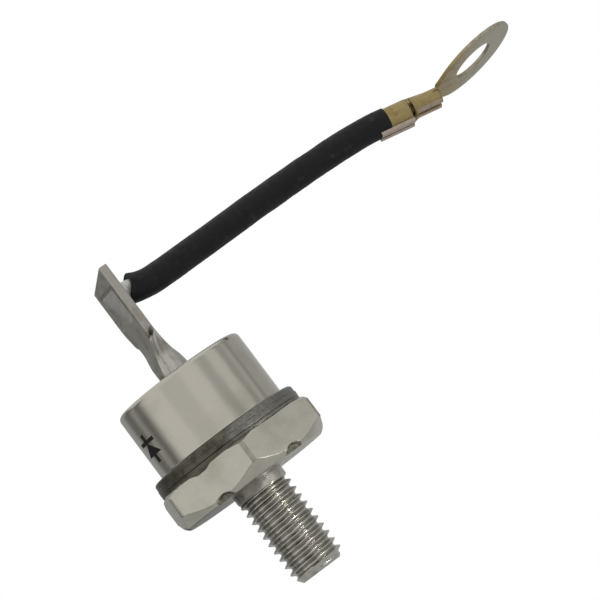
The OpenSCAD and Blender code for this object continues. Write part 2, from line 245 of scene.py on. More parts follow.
def make_piece(name: str, mesh: Mesh, sharp_deg: float = 38.0) -> bpy.types.Object:
    """Make a piece from a skin in millimetres.

    Args:
        name: Name of the piece.
        mesh: Points and faces of the skin.
        sharp_deg: Edges that turn by more than this stay sharp.

    Returns:
        The piece, linked to the scene.
    """
    data = bpy.data.meshes.new(name)
    data.from_pydata([p * MM for p in mesh[0]], [], mesh[1])
    work = bmesh.new()
    work.from_mesh(data)
    bmesh.ops.remove_doubles(work, verts=work.verts, dist=MERGE_GAP)
    bmesh.ops.dissolve_degenerate(work, edges=work.edges, dist=FLAT_GAP)
    bmesh.ops.recalc_face_normals(work, faces=work.faces)
    work.to_mesh(data)
    work.free()
    piece = add_object(name, data)
    smooth(piece, sharp_deg)
    return piece


def smooth(piece: bpy.types.Object, sharp_deg: float) -> None:
    """Shade a piece smooth, apart from its sharp edges."""
    piece.data.shade_smooth()
    piece.data.set_sharp_from_angle(angle=math.radians(sharp_deg))


def tone(piece: bpy.types.Object, tone_at: Callable[[Vector], int]) -> None:
    """Choose the finish of each face by the place of its middle.

    Args:
        piece: The piece.
        tone_at: Gives the number of the finish from a place in millimetres.
    """
    for face in piece.data.polygons:
        face.material_index = int(tone_at(face.center / MM))


class Shader:
    """Node tree of one material, with helpers for the textures that feed its surface."""

    def __init__(self, name: str) -> None:
        """Start a material with its surface and its place in millimetres.

        Args:
            name: Name of the material.
        """
        self.material = bpy.data.materials.new(name)
        self.material.use_nodes = True
        self.nodes = self.material.node_tree.nodes
        self.links = self.material.node_tree.links
        self.surface = self.nodes["Principled BSDF"]
        self.where = self.stretch(self.nodes.new("ShaderNodeTexCoord").outputs["Object"], (1 / MM,) * 3)

    def stretch(self, place: Socket, scale: Triple) -> Socket:
        """Scale each axis of a place.

        Args:
            place: The place.
            scale: Scale of its X, Y and Z.

        Returns:
            The scaled place.
        """
        node = self.nodes.new("ShaderNodeMapping")
        node.inputs["Scale"].default_value = scale
        self.links.new(place, node.inputs["Vector"])
        return node.outputs["Vector"]

    def clouds(self, size: float, detail: float = 3.0, place: Socket | None = None) -> Socket:
        """Make a cloudy texture.

        Args:
            size: Size of its spots in millimetres.
            detail: Number of finer layers.
            place: Where it is read, or the plain place.

        Returns:
            Its value, about 0.5 on average.
        """
        node = self.nodes.new("ShaderNodeTexNoise")
        node.inputs["Scale"].default_value = 1 / size
        node.inputs["Detail"].default_value = detail
        self.links.new(place or self.where, node.inputs["Vector"])
        return node.outputs["Fac"]

    def remap(self, value: Socket, source: Pair, target: Pair) -> Socket:
        """Carry a value smoothly from one range to another, and hold it at its ends.

        Args:
            value: The value to carry.
            source: Range it comes from.
            target: Range it goes to.

        Returns:
            The carried value.
        """
        node = self.nodes.new("ShaderNodeMapRange")
        node.interpolation_type = "SMOOTHSTEP"
        limits = (*source, *target)
        for key, limit in zip(("From Min", "From Max", "To Min", "To Max"), limits):
            node.inputs[key].default_value = limit
        self.links.new(value, node.inputs["Value"])
        return node.outputs["Result"]

    def blend(self, share: Socket, low: Triple | Socket, high: Triple | Socket) -> Socket:
        """Mix two colours.

        Args:
            share: 0 gives the first colour and 1 the second.
            low: The first colour.
            high: The second colour.

        Returns:
            The mixed colour.
        """
        node = self.nodes.new("ShaderNodeMix")
        node.data_type = "RGBA"
        self.links.new(share, node.inputs["Factor"])
        for index, colour in zip(MIX_COLOURS, (low, high)):
            if isinstance(colour, tuple):
                node.inputs[index].default_value = (*colour, 1.0)
            else:
                self.links.new(colour, node.inputs[index])
        return node.outputs[MIX_RESULT]

    def combine(self, operation: str, first: Socket, second: Socket) -> Socket:
        """Join two values by one operation of arithmetic.

        Args:
            operation: Name of the operation.
            first: The first value.
            second: The second value.

        Returns:
            The result.
        """
        node = self.nodes.new("ShaderNodeMath")
        node.operation = operation
        self.links.new(first, node.inputs[0])
        self.links.new(second, node.inputs[1])
        return node.outputs[0]

    def along(self, direction: Triple) -> Socket:
        """Measure along a direction from the frame's origin.

        Args:
            direction: The direction. Its length multiplies the measure.

        Returns:
            The measure, in millimetres.
        """
        node = self.nodes.new("ShaderNodeVectorMath")
        node.operation = "DOT_PRODUCT"
        node.inputs[1].default_value = direction
        self.links.new(self.where, node.inputs[0])
        return node.outputs["Value"]

    def relief(self, height: Socket, depth: float) -> None:
        """Give the surface a fine relief, on top of any that it has.

        Args:
            height: Height pattern from 0 to 1.
            depth: Height of the pattern in millimetres.
        """
        node = self.nodes.new("ShaderNodeBump")
        node.inputs["Distance"].default_value = depth * MM
        self.links.new(height, node.inputs["Height"])
        earlier = self.surface.inputs["Normal"].links
        if earlier:
            self.links.new(earlier[0].from_socket, node.inputs["Normal"])
        self.links.new(node.outputs["Normal"], self.surface.inputs["Normal"])

    def paint(self, colour: Socket, roughness: Socket) -> None:
        """Connect the colour and the roughness."""
        self.links.new(colour, self.surface.inputs["Base Color"])
        self.links.new(roughness, self.surface.inputs["Roughness"])


class Grain(Enum):
    """Direction in which the fine marks of a finish run, as the scale of each axis."""

    EVEN = (1.0, 1.0, 1.0)
    TURNED = (0.12, 0.12, 1.6)
    DRAWN = (1.6, 1.6, 0.1)


@dataclass(frozen=True)
class Metal:
    """Metal with stains, uneven gloss and fine marks."""

    name: str
    colour: Triple
    stain: Triple
    stain_size: float = 3.0
    stain_range: Pair = (0.45, 0.75)
    gloss: Pair = (0.2, 0.32)
    mark_size: float = 0.12
    mark_depth: float = 0.004
    grain: Grain = Grain.EVEN
    metallic: float = 1.0
    wave_size: float = 3.0
    wave_depth: float = 0.0

    MARK_DETAIL: ClassVar[float] = 2.0
    GLOSS_DETAIL: ClassVar[float] = 4.0
    WAVE_DETAIL: ClassVar[float] = 1.0
    # Patches of gloss to the width of a stain
    GLOSS_PATCHES: ClassVar[float] = 3.0

    def shade(self, shader: Shader) -> tuple[Socket, Socket]:
        """Make the textures of the finish.

        Args:
            shader: The material in the making.

        Returns:
            Its colour and its roughness.
        """
        shader.surface.inputs["Metallic"].default_value = self.metallic
        stains = shader.remap(shader.clouds(self.stain_size), self.stain_range, FULL)
        colour = shader.blend(stains, self.colour, self.stain)
        along = shader.stretch(shader.where, self.grain.value)
        marks = shader.clouds(self.mark_size, self.MARK_DETAIL, along)
        patches = shader.clouds(self.stain_size / self.GLOSS_PATCHES, self.GLOSS_DETAIL, along)
        roughness = shader.remap(patches, CLOUDS, self.gloss)
        shader.relief(marks, self.mark_depth)
        if self.wave_depth:
            shader.relief(shader.clouds(self.wave_size, self.WAVE_DETAIL), self.wave_depth)
        return colour, roughness

    @cache
    def material(self) -> bpy.types.Material:
        """Make the material of the finish, once.

        Returns:
            The material.
        """
        shader = Shader(self.name)
        shader.paint(*self.shade(shader))
        return shader.material


@dataclass(frozen=True)
class FadedMetal(Metal):
    """Metal that turns to a second colour and gloss along one direction."""

    second: Triple = (0.1, 0.09, 0.07)
    second_gloss: Pair = (0.45, 0.6)
    direction: Triple = (0.0, 0.0, -1.0)
    change: Pair = (0.0, 1.0)
    uneven: float = 0.1
    uneven_size: float = 0.9

    UNEVEN_RANGE: ClassVar[Pair] = (0.25, 0.75)
    PATCH_SIZE: ClassVar[float] = 0.5
    PATCH_DETAIL: ClassVar[float] = 5.0
    PATCH_RANGE: ClassVar[Pair] = (0.35, 0.65)
    # How much lighter the second colour is in its patches
    PATCH_LIFT: ClassVar[float] = 1.4

    def shade(self, shader: Shader) -> tuple[Socket, Socket]:
        """Make the textures of the finish and their change.

        Args:
            shader: The material in the making.

        Returns:
            Its colour and its roughness.
        """
        colour, roughness = super().shade(shader)
        drift = shader.remap(
            shader.clouds(self.uneven_size), self.UNEVEN_RANGE, (-self.uneven, self.uneven)
        )
        place = shader.combine("ADD", shader.along(self.direction), drift)
        share = shader.remap(place, self.change, FULL)
        patches = shader.remap(shader.clouds(self.PATCH_SIZE, self.PATCH_DETAIL), self.PATCH_RANGE, FULL)
        second = shader.blend(patches, self.second, tuple(self.PATCH_LIFT * c for c in self.second))
        gap = shader.combine("SUBTRACT", shader.remap(patches, FULL, self.second_gloss), roughness)
        step = shader.combine("MULTIPLY", gap, share)
        return shader.blend(share, colour, second), shader.combine("ADD", roughness, step)


@dataclass(frozen=True)
class Plastic:
    """Soft plastic or ink with a fine skin and light scuffs."""

    name: str
    colour: Triple
    scuff: Triple
    gloss: Pair = (0.4, 0.55)
    skin_size: float = 0.2
    skin_depth: float = 0.006
    specular: float = 0.35

    SCUFF_SIZE: ClassVar[float] = 1.3
    SCUFF_DETAIL: ClassVar[float] = 6.0
    SCUFF_RANGE: ClassVar[Pair] = (0.58, 0.8)
    GLOSS_SIZE: ClassVar[float] = 0.8

    @cache
    def material(self) -> bpy.types.Material:
        """Make the material of the finish, once.

        Returns:
            The material.
        """
        shader = Shader(self.name)
        shader.surface.inputs["Specular IOR Level"].default_value = self.specular
        scuffs = shader.remap(shader.clouds(self.SCUFF_SIZE, self.SCUFF_DETAIL), self.SCUFF_RANGE, FULL)
        colour = shader.blend(scuffs, self.colour, self.scuff)
        roughness = shader.remap(shader.clouds(self.GLOSS_SIZE), CLOUDS, self.gloss)
        shader.paint(colour, roughness)
        shader.relief(shader.clouds(self.skin_size), self.skin_depth)
        return shader.material


# Side of the case towards which its burnt steel is painted paler, as painted light
LIT_SIDE = (0.918, -0.396, 0.0)
# Way that the ring terminal points
LEAD_WAY = (0.975, -0.222, 0.0)
# Ways that lead from bright plate to painted shade, on one side of the stud's neck and of the hexagon's
# lower edge
NECK_SHADE_WAY = (-0.918, 0.396, 2.5)
SEAT_SHADE_WAY = (-0.918, 0.396, -35.0)

# Plated hexagon, whose second colour is painted shade on one side of its lower edge
NICKEL_BASE = FadedMetal(
    "nickel_base", (0.43, 0.415, 0.355), (0.35, 0.335, 0.28), 5.0, gloss=(0.24, 0.34), mark_size=0.1,
    mark_depth=0.003, wave_depth=0.03, second=(0.1, 0.095, 0.08), second_gloss=(0.3, 0.4),
    direction=SEAT_SHADE_WAY, change=(0.0, 6.0), uneven=0.6,
)
# Painted shade inside the hexagon's notches
NOTCH_SHADE_METAL = Metal("nickel_notch_shade", (0.16, 0.15, 0.12), (0.1, 0.09, 0.07), 1.0, gloss=(0.35, 0.5))
# Painted shade along the hexagon's rounded corners
CORNER_SHADE_METAL = Metal("nickel_corner_shade", (0.3, 0.285, 0.24), (0.24, 0.225, 0.185), 1.0, gloss=(0.3, 0.42))
# Plated stud, whose second colour is painted shade on one side of its neck
NICKEL_STUD = FadedMetal(
    "nickel_stud", (0.42, 0.405, 0.37), (0.3, 0.28, 0.245), 1.5, gloss=(0.15, 0.25), mark_size=0.15,
    mark_depth=0.006, second=(0.17, 0.16, 0.14), second_gloss=(0.2, 0.3), direction=NECK_SHADE_WAY,
    change=(-3.4, -2.0), uneven=0.3,
)
NICKEL_CAP = Metal(
    "nickel_cap", (0.43, 0.41, 0.355), (0.36, 0.34, 0.29), 6.0, gloss=(0.11, 0.19), mark_size=0.2,
    mark_depth=0.002, grain=Grain.DRAWN, wave_size=4.0, wave_depth=0.05,
)
# Burnt steel of the ring and the flange; its second, paler colour is painted light on one side
BURNT_STEEL = FadedMetal(
    "burnt_steel", (0.1, 0.092, 0.071), (0.058, 0.053, 0.041), 1.2, gloss=(0.35, 0.5), mark_size=0.3,
    mark_depth=0.015, grain=Grain.TURNED, second=(0.142, 0.137, 0.122), second_gloss=(0.4, 0.52),
    direction=LIT_SIDE, change=(-2.0, 4.0), uneven=2.0, uneven_size=2.0,
)
TUBE_METAL = Metal(
    "tube_metal", (0.36, 0.345, 0.31), (0.26, 0.235, 0.2), 1.6, gloss=(0.38, 0.5), mark_size=0.15,
    mark_depth=0.003,
)
# The tube's metal painted lighter on its rounded leaves, as painted light
LIT_LEAF_METAL = Metal(
    "lit_leaf_metal", (0.44, 0.425, 0.385), (0.37, 0.35, 0.315), 1.6, gloss=(0.3, 0.42), mark_size=0.15,
    mark_depth=0.003,
)
# The tube's metal painted lighter on the pressed panel, as painted light, and darker towards the panel's
# lower end and far side, as painted shade
LIT_PANEL_METAL = FadedMetal(
    "lit_panel_metal", (0.52, 0.5, 0.465), (0.43, 0.41, 0.375), 1.2, gloss=(0.3, 0.4), mark_depth=0.004,
    second=(0.29, 0.276, 0.247), second_gloss=(0.3, 0.42), direction=(0.0, 0.8, -0.6),
    change=(-18.8, -16.6), uneven=0.4,
)
# Painted shade along the tube's crease and round the panel's border
LINE_SHADE_METAL = FadedMetal(
    "line_shade_metal", (0.25, 0.225, 0.19), (0.19, 0.165, 0.13), 0.8, gloss=(0.35, 0.45), mark_depth=0.004,
    second=(0.29, 0.276, 0.247), second_gloss=(0.3, 0.42), change=(-30.0, -27.6), uneven=0.4,
)
SEAL_GLASS = Metal(
    "seal_glass", (0.05, 0.075, 0.07), (0.03, 0.045, 0.042), 1.0, gloss=(0.06, 0.12), mark_size=0.4,
    mark_depth=0.01, metallic=0.0,
)
SOLDER = Metal(
    "solder", (0.54, 0.54, 0.525), (0.4, 0.39, 0.37), 0.5, gloss=(0.35, 0.5), mark_size=0.25,
    mark_depth=0.02, metallic=0.4,
)
STRAND = Metal(
    "tinned_strand", (0.45, 0.44, 0.4), (0.32, 0.27, 0.2), 0.8, gloss=(0.25, 0.4), mark_size=0.1
)
BRASS = FadedMetal(
    "brass", (0.31, 0.243, 0.112), (0.225, 0.17, 0.068), 1.4, gloss=(0.38, 0.5), mark_depth=0.006,
    second=(0.3, 0.28, 0.22), second_gloss=(0.35, 0.45), direction=LEAD_WAY, change=(56.0, 67.0),
    uneven=1.0,
)
BARE_BRASS = Metal(
    "bare_brass", (0.4, 0.33, 0.27), (0.3, 0.23, 0.17), 0.8, gloss=(0.3, 0.45), mark_depth=0.01
)
MOLYBDENUM = Metal(
    "molybdenum", (0.3, 0.3, 0.32), (0.22, 0.22, 0.24), 2.0, gloss=(0.3, 0.45), grain=Grain.TURNED
)
SILICON = Metal(
    "silicon", (0.12, 0.13, 0.16), (0.1, 0.1, 0.14), 2.0, gloss=(0.05, 0.1), mark_depth=0.001
)
COPPER = Metal(
    "copper", (0.72, 0.4, 0.25), (0.5, 0.24, 0.14), 2.0, gloss=(0.25, 0.4), grain=Grain.TURNED
)
COATING = Plastic("coating_rubber", (0.6, 0.57, 0.5), (0.5, 0.47, 0.4), (0.5, 0.7))
SLEEVE = Plastic(
    "black_sleeve", (0.005, 0.005, 0.0052), (0.02, 0.02, 0.021), (0.5, 0.65), 0.35, 0.012, specular=0.2
)
INK = Plastic(
    "black_ink", (0.007, 0.0065, 0.006), (0.015, 0.014, 0.012), (0.6, 0.75), 0.08, 0.004, specular=0.12
)

Finish = Metal | Plastic


def dress(
    piece: bpy.types.Object, finish: Finish, slot: str, *nodes: str, others: Sequence[Finish] = ()
) -> None:
    """Give a new piece its finish and body, and hide the CAD nodes that it stands for.

    Args:
        piece: The piece, in place.
        finish: Its finish.
        slot: Name of a record's material slot; not used.
        nodes: CAD nodes that it stands for.
        others: Finishes of the faces whose number is 1 and up.
    """
    for each in (finish, *others):
        piece.data.materials.append(each.material())
    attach(piece, BODY)
    if nodes:
        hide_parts(*nodes)
    LOG.info("%s: %d faces, %s", piece.name, len(piece.data.polygons), finish.name)


@dataclass
class ViewPoint:
    """Camera that sees the part as the photograph does."""

    lean_deg: float = 53.0
    tilt_deg: float = 4.5
    swing_deg: float = 26.0
    distance: float = 420.0
    nearest: float = 10.0
    px_per_mm: float = 7.3
    origin_px: Pair = (256.5, 481.7)

    def axes(self) -> tuple[Vector, Vector, Vector]:
        """Work out how the part stands before the camera.

        Returns:
            The part's X, Y and Z axes as the camera sees them: right, up and towards it.
        """
        lean = math.radians(self.lean_deg)
        tilt = math.radians(self.tilt_deg)
        swing = math.radians(self.swing_deg)
        flat = math.cos(tilt)
        upward = Vector((-math.cos(lean) * flat, math.sin(lean) * flat, -math.sin(tilt)))
        across = Vector((math.sin(lean), math.cos(lean), 0.0))
        depth = across.cross(upward)
        forward = across * math.cos(swing) - depth * math.sin(swing)
        return forward, upward.cross(forward), upward

    def azimuth(self) -> float:
        """Compass angle of the camera seen from the part, in degrees."""
        x_axis, y_axis, _ = self.axes()
        return math.degrees(math.atan2(y_axis.z, x_axis.z))

    def build(self) -> None:
        """Make the scene's camera."""
        focal_px = self.px_per_mm * self.distance
        half = PICTURE_PX / 2
        origin = Vector((
            (self.origin_px[0] - half) / focal_px * self.distance,
            (half - self.origin_px[1]) / focal_px * self.distance,
            -self.distance,
        ))
        turn = Matrix(self.axes())
        data = bpy.data.cameras.new("camera")
        data.sensor_width = SENSOR_MM
        data.lens = focal_px / PICTURE_PX * SENSOR_MM
        data.clip_start = self.nearest * MM
        camera = add_object("camera", data)
        camera.matrix_world = Matrix.Translation(-(turn @ origin) * MM) @ turn.to_4x4()
        bpy.context.scene.camera = camera


@dataclass(frozen=True)
class Lamp:
    """Soft square lamp that shines at the part. Its compass angle is counted from the camera's."""

    name: str
    angle_deg: float
    climb_deg: float
    away: float
    size: float
    watts: float
    beam_deg: float = 180.0
    drop: float = 0.0
    in_shine: bool = True

    def build(self, camera_azimuth: float) -> None:
        """Make the lamp.

        Args:
            camera_azimuth: Compass angle of the camera, in degrees.
        """
        rise = math.radians(self.climb_deg)
        ray = polar(math.cos(rise), math.radians(camera_azimuth + self.angle_deg), math.sin(rise))
        data = bpy.data.lights.new(self.name, "AREA")
        data.size = self.size * MM
        data.energy = self.watts
        data.spread = math.radians(self.beam_deg)
        lamp = add_object(self.name, data)
        lamp.location = ray * self.away * MM
        lamp.location.z -= self.drop * MM
        lamp.rotation_mode = "QUATERNION"
        lamp.rotation_quaternion = ray.to_track_quat("Z", "Y")
        lamp.visible_glossy = self.in_shine


@dataclass
class Studio:
    """White room with a pale floor, grey screens and soft lamps."""

    camera_azimuth: float
    floor_level: float = -100.0
    floor_radius: float = 300.0
    # Shares of the floor's radius between which it fades to white
    floor_fade: Pair = (0.3, 0.9)
    floor_spots: float = 20.0
    floor_patches: float = 8.0
    low_screen_gap: float = 10.0
    centre_hole: float = 1.0
    centre_radius: float = 70.0
    screen_radius: float = 620.0
    screen_low: float = -330.0
    screen_high: float = 420.0
    light_level: float = 0.85

    FLOOR_SIDES: ClassVar[int] = 96
    FLOOR_TONES: ClassVar[tuple[Triple, Triple]] = ((0.84, 0.84, 0.84), (0.87, 0.87, 0.865))
    FLOOR_GLOSS: ClassVar[Pair] = (0.7, 0.85)
    SCREEN_STEPS: ClassVar[int] = 360
    LAMPS: ClassVar[tuple[Lamp, ...]] = (
        Lamp("key_lamp", -50, 45, away=900, size=260, watts=4.0, in_shine=False),
        Lamp("glint_lamp", 52, -25, away=200, size=40, watts=0.004, beam_deg=8.0, drop=14.0),
    )
    # Angle from the camera, in degrees, and brightness of the screen there
    CENTRE_SCREEN: ClassVar[tuple[Pair, ...]] = (
        (-180, 0.05), (-176, 0.05), (-168, 0.66), (155, 0.66), (162, 0.05), (180, 0.05),
    )
    LOW_SCREEN: ClassVar[tuple[Pair, ...]] = (
        (-180, 0.6), (-80, 0.5), (-48, 0.6), (-32, 0.6), (-18, 0.05), (14, 0.05), (24, 1.0), (44, 1.0),
        (52, 0.55), (180, 0.6),
    )
    TALL_SCREEN: ClassVar[tuple[Pair, ...]] = (
        (-180, 0.38), (-150, 0.42), (-136, 0.5), (-124, 0.26), (-110, 0.26), (-103, 0.52), (-96, 0.52),
        (-90, 0.26), (-82, 0.26), (-70, 0.9), (-62, 1.0), (-36, 1.0), (-28, 0.86), (2, 0.86), (8, 0.98),
        (32, 0.98), (43, 0.66), (53, 0.66), (62, 0.9), (76, 0.9), (83, 0.55), (90, 0.55), (94, 0.68),
        (100, 0.68), (104, 0.42), (107, 0.42), (111, 0.6), (180, 0.55),
    )

    def build(self) -> None:
        """Make the world, the floor, the screens and the lamps."""
        bpy.context.scene.view_settings.view_transform = "Standard"
        self.build_world()
        self.build_floor()
        low = self.floor_level + self.low_screen_gap
        centre = ((self.centre_hole, low), (self.centre_radius, low))
        outer = ((self.centre_radius, low), (self.floor_radius, low))
        tall = ((self.screen_radius, self.screen_low), (self.screen_radius, self.screen_high))
        self.build_screen("centre_screen", centre, self.CENTRE_SCREEN)
        self.build_screen("low_screen", outer, self.LOW_SCREEN)
        self.build_screen("tall_screen", tall, self.TALL_SCREEN)
        for lamp in self.LAMPS:
            lamp.build(self.camera_azimuth)

    def build_world(self) -> None:
        """White for the camera, metal and glass, and a plain light level for the rest."""
        world = bpy.data.worlds.new("white_room")
        world.use_nodes = True
        bpy.context.scene.world = world
        nodes = world.node_tree.nodes
        links = world.node_tree.links
        path = nodes.new("ShaderNodeLightPath")
        shown = path.outputs["Is Camera Ray"]
        for ray in ("Is Glossy Ray", "Is Transmission Ray"):
            either = nodes.new("ShaderNodeMath")
            either.operation = "MAXIMUM"
            links.new(shown, either.inputs[0])
            links.new(path.outputs[ray], either.inputs[1])
            shown = either.outputs[0]
        level = nodes.new("ShaderNodeMapRange")
        level.inputs["To Min"].default_value = self.light_level
        level.inputs["To Max"].default_value = 1.0
        links.new(shown, level.inputs["Value"])
        background = nodes["Background"]
        background.inputs["Color"].default_value = (1.0, 1.0, 1.0, 1.0)
        links.new(level.outputs["Result"], background.inputs["Strength"])

    def build_floor(self) -> None:
        """Pale floor that keeps the part's shadow and fades to white at its rim."""
        data = bpy.data.meshes.new("floor")
        work = bmesh.new()
        radius = self.floor_radius * MM
        bmesh.ops.create_circle(work, cap_ends=True, segments=self.FLOOR_SIDES, radius=radius)
        work.to_mesh(data)
        work.free()
        floor = add_object("floor", data)
        floor.location.z = self.floor_level * MM
        shader = Shader("pale_floor")
        shader.paint(
            shader.blend(shader.clouds(self.floor_spots), *self.FLOOR_TONES),
            shader.remap(shader.clouds(self.floor_patches), CLOUDS, self.FLOOR_GLOSS),
        )
        white = shader.nodes.new("ShaderNodeEmission")
        away = shader.nodes.new("ShaderNodeVectorMath")
        away.operation = "LENGTH"
        shader.links.new(shader.where, away.inputs[0])
        fading = tuple(share * self.floor_radius for share in self.floor_fade)
        mix = shader.nodes.new("ShaderNodeMixShader")
        shader.links.new(shader.remap(away.outputs["Value"], fading, FULL), mix.inputs[0])
        shader.links.new(shader.surface.outputs[0], mix.inputs[1])
        shader.links.new(white.outputs[0], mix.inputs[2])
        shader.links.new(mix.outputs[0], shader.nodes["Material Output"].inputs["Surface"])
        floor.data.materials.append(shader.material)

    def build_screen(self, name: str, rims: tuple[Pair, Pair], levels: Sequence[Pair]) -> None:
        """Make a grey screen round the part, which only its shine can see.

        Args:
            name: Name of the screen.
            rims: Radius and height of its two rims.
            levels: Angle from the camera, in degrees, and brightness there, in order.
        """
        points = []
        greys = []
        for angle in spread(-180, 180, self.SCREEN_STEPS):
            turn = math.radians(self.camera_azimuth + angle)
            for radius, height in rims:
                points.append(polar(radius, turn, height) * MM)
                greys.append(self.grey_at(levels, angle))
        faces = [(i, i + 1, i + 3, i + 2) for i in range(0, 2 * self.SCREEN_STEPS, 2)]
        data = bpy.data.meshes.new(name)
        data.from_pydata(points, [], faces)
        grey = data.attributes.new("grey", "FLOAT", "POINT")
        grey.data.foreach_set("value", greys)
        screen = add_object(name, data)
        material = bpy.data.materials.new(name)
        material.use_nodes = True
        nodes = material.node_tree.nodes
        nodes.remove(nodes["Principled BSDF"])
        level = nodes.new("ShaderNodeAttribute")
        level.attribute_name = "grey"
        shine = nodes.new("ShaderNodeEmission")
        material.node_tree.links.new(level.outputs["Fac"], shine.inputs["Strength"])
        material.node_tree.links.new(shine.outputs[0], nodes["Material Output"].inputs["Surface"])
        data.materials.append(material)
        for key in ("camera", "diffuse", "shadow", "transmission", "volume_scatter"):
            setattr(screen, f"visible_{key}", False)

    @staticmethod
    def grey_at(levels: Sequence[Pair], angle: float) -> float:
        """Read the brightness of a screen at an angle.

        Args:
            levels: Angle from the camera, in degrees, and brightness there, in order.
            angle: The angle to read, in degrees.

        Returns:
            The brightness.
        """
        for (start, low), (end, high) in zip(levels, levels[1:]):
            if start <= angle <= end:
                return between(low, high, (angle - start) / (end - start))
        return levels[-1][1]


class BaseTone(IntEnum):
    """Finishes of the base, by their number."""

    BRIGHT = 0
    # Painted shade in the notches
    SHADED_NOTCH = 1
    # Painted shade on the rounded corners
    SHADED_CORNER = 2
    STUD = 3


@dataclass
class StudBase:
    """Hexagon with its threaded stud and pedestal, forged as one piece."""

    across_flats: float = 23.4
    height: float = 5.5
    turn_deg: float = 13.0
    chamfer_deg: float = 42.0
    chamfer_inset: float = 0.5
    upper_chamfer_deg: float = 30.0
    upper_chamfer_outset: float = 0.5
    corner_round: float = 0.35
    # Width of the painted shade along each rounded corner
    corner_shade_band: float = 0.12
    edge_soft: float = 0.16
    notch_width: float = 3.2
    notch_height: float = 0.9
    notch_depth: float = 0.6
    notch_soft: float = 0.3
    # How deep into a flat the notch's painted shade begins, and how far past the notch's floor it reaches
    notch_shade_from: float = 0.15
    notch_shade_past: float = 0.1
    pedestal_r: float = 7.0
    pedestal_top: float = 7.7
    stud_r: float = 4.0
    stud_length: float = 15.0
    stud_root: float = 0.5
    tip_gap: float = 0.001
    bevel_length: float = 1.2
    bevel_width: float = 0.95
    neck_length: float = 1.1
    runout: float = 1.0
    pitch: float = 1.25
    thread_depth: float = 0.675
    thread_start: float = 0.078
    flank_deg: float = 60.0
    crest_edge_fall: float = 0.035

    FLATS: ClassVar[int] = 6
    SECTOR: ClassVar[float] = math.tau / FLATS
    CORNER_STEPS: ClassVar[int] = 8
    FLAT_STEPS: ClassVar[int] = 60
    WALL_LEVELS: ClassVar[int] = 16
    TURN_STEPS: ClassVar[int] = 96
    # Turns of thread above the stud's root, and turns in all beyond its length
    TURNS_ABOVE: ClassVar[int] = 2
    SPARE_TURNS: ClassVar[int] = 4
    # Share of the pitch that is half a crest, and shares of that where the crest ends and turns
    CREST: ClassVar[float] = 1 / 16
    CREST_END: ClassVar[float] = 0.7
    CREST_TURN: ClassVar[float] = 1.15
    # Shares of the flank's length and of the thread's depth along the rounded flank, and in the root
    FLANK: ClassVar[tuple[Pair, ...]] = ((0.35, 0.35), (0.7, 0.7), (0.93, 0.92))
    ROOT: ClassVar[Pair] = (0.4, 0.99)
    # Share of its depth from which a notch is painted with shade
    NOTCH_RIM: ClassVar[float] = 0.25

    def corner_centre(self) -> float:
        """Distance from the axis to the centre of a corner's rounding."""
        return (self.across_flats / 2 - self.corner_round) / math.cos(self.SECTOR / 2)

    def outline(self) -> list[tuple[Vector, float]]:
        """Draw the hexagon with rounded corners.

        Returns:
            Each point of the outline, and its distance from its flat's middle. Corners count as far off.
        """
        arcs = []
        for k in range(self.FLATS):
            corner = math.radians(self.turn_deg) + k * self.SECTOR
            centre = polar(1.0, corner) * self.corner_centre()
            angles = spread(corner - self.SECTOR / 2, corner + self.SECTOR / 2, self.CORNER_STEPS)
            arcs.append([centre + polar(1.0, a) * self.corner_round for a in angles])
        points = []
        for arc, following in zip(arcs, arcs[1:] + arcs[:1]):
            middle = (arc[-1] + following[0]) / 2
            points.extend((p, self.across_flats / 2) for p in arc)
            for share in spread(0, 1, self.FLAT_STEPS)[1:-1]:
                point = arc[-1].lerp(following[0], share)
                points.append((point, (point - middle).length))
        return points

    def notch_at(self, off_middle: float, z: float) -> float:
        """Measure the notch in a flat.

        Args:
            off_middle: Distance from the flat's middle.
            z: The height.

        Returns:
            Depth of the notch there.
        """
        radius = ((self.notch_width / 2) ** 2 + self.notch_height**2) / (2 * self.notch_height)
        inside = radius - math.hypot(off_middle, z - self.notch_height + radius)
        return self.notch_depth * ease(inside / self.notch_soft + 0.5)

    def hexagon(self) -> Mesh:
        """Make the chamfered and notched hexagon and its pedestal.

        Returns:
            Points and faces of the skin.
        """
        chamfer_r = self.across_flats / 2 - self.chamfer_inset
        slope = math.tan(math.radians(self.chamfer_deg))
        corner_r = self.across_flats / 2 + self.upper_chamfer_outset
        upper_slope = math.tan(math.radians(self.upper_chamfer_deg))
        hidden_r = self.stud_r / 2
        wall_top = 2 * self.notch_height
        columns = []
        for point, off_middle in self.outline():
            reach = math.hypot(point.x, point.y)
            rise = (reach - chamfer_r) * slope
            low = [(hidden_r, 0.0), (chamfer_r, 0.0), (reach, rise), (reach, wall_top)]
            drop = max(self.edge_soft, (reach - corner_r) * upper_slope)
            high = [
                (reach, wall_top), (reach, self.height - drop),
                (min(corner_r, reach - self.edge_soft), self.height), (self.pedestal_r, self.height),
                (self.pedestal_r, self.pedestal_top), (hidden_r, self.pedestal_top),
            ]
            foot = soften(low, [self.edge_soft] * 2)
            wall = [(reach, z) for z in spread(foot[-2][1], wall_top, self.WALL_LEVELS)[1:]]
            column = []
            for r, z in [*foot[:-1], *wall, *soften(high, [self.edge_soft] * 4)[1:]]:
                cut = min(r, reach - self.notch_at(off_middle, z))
                column.append(Vector((point.x / reach * cut, point.y / reach * cut, z)))
            columns.append(column)
        return sweep(list(zip(*columns)))

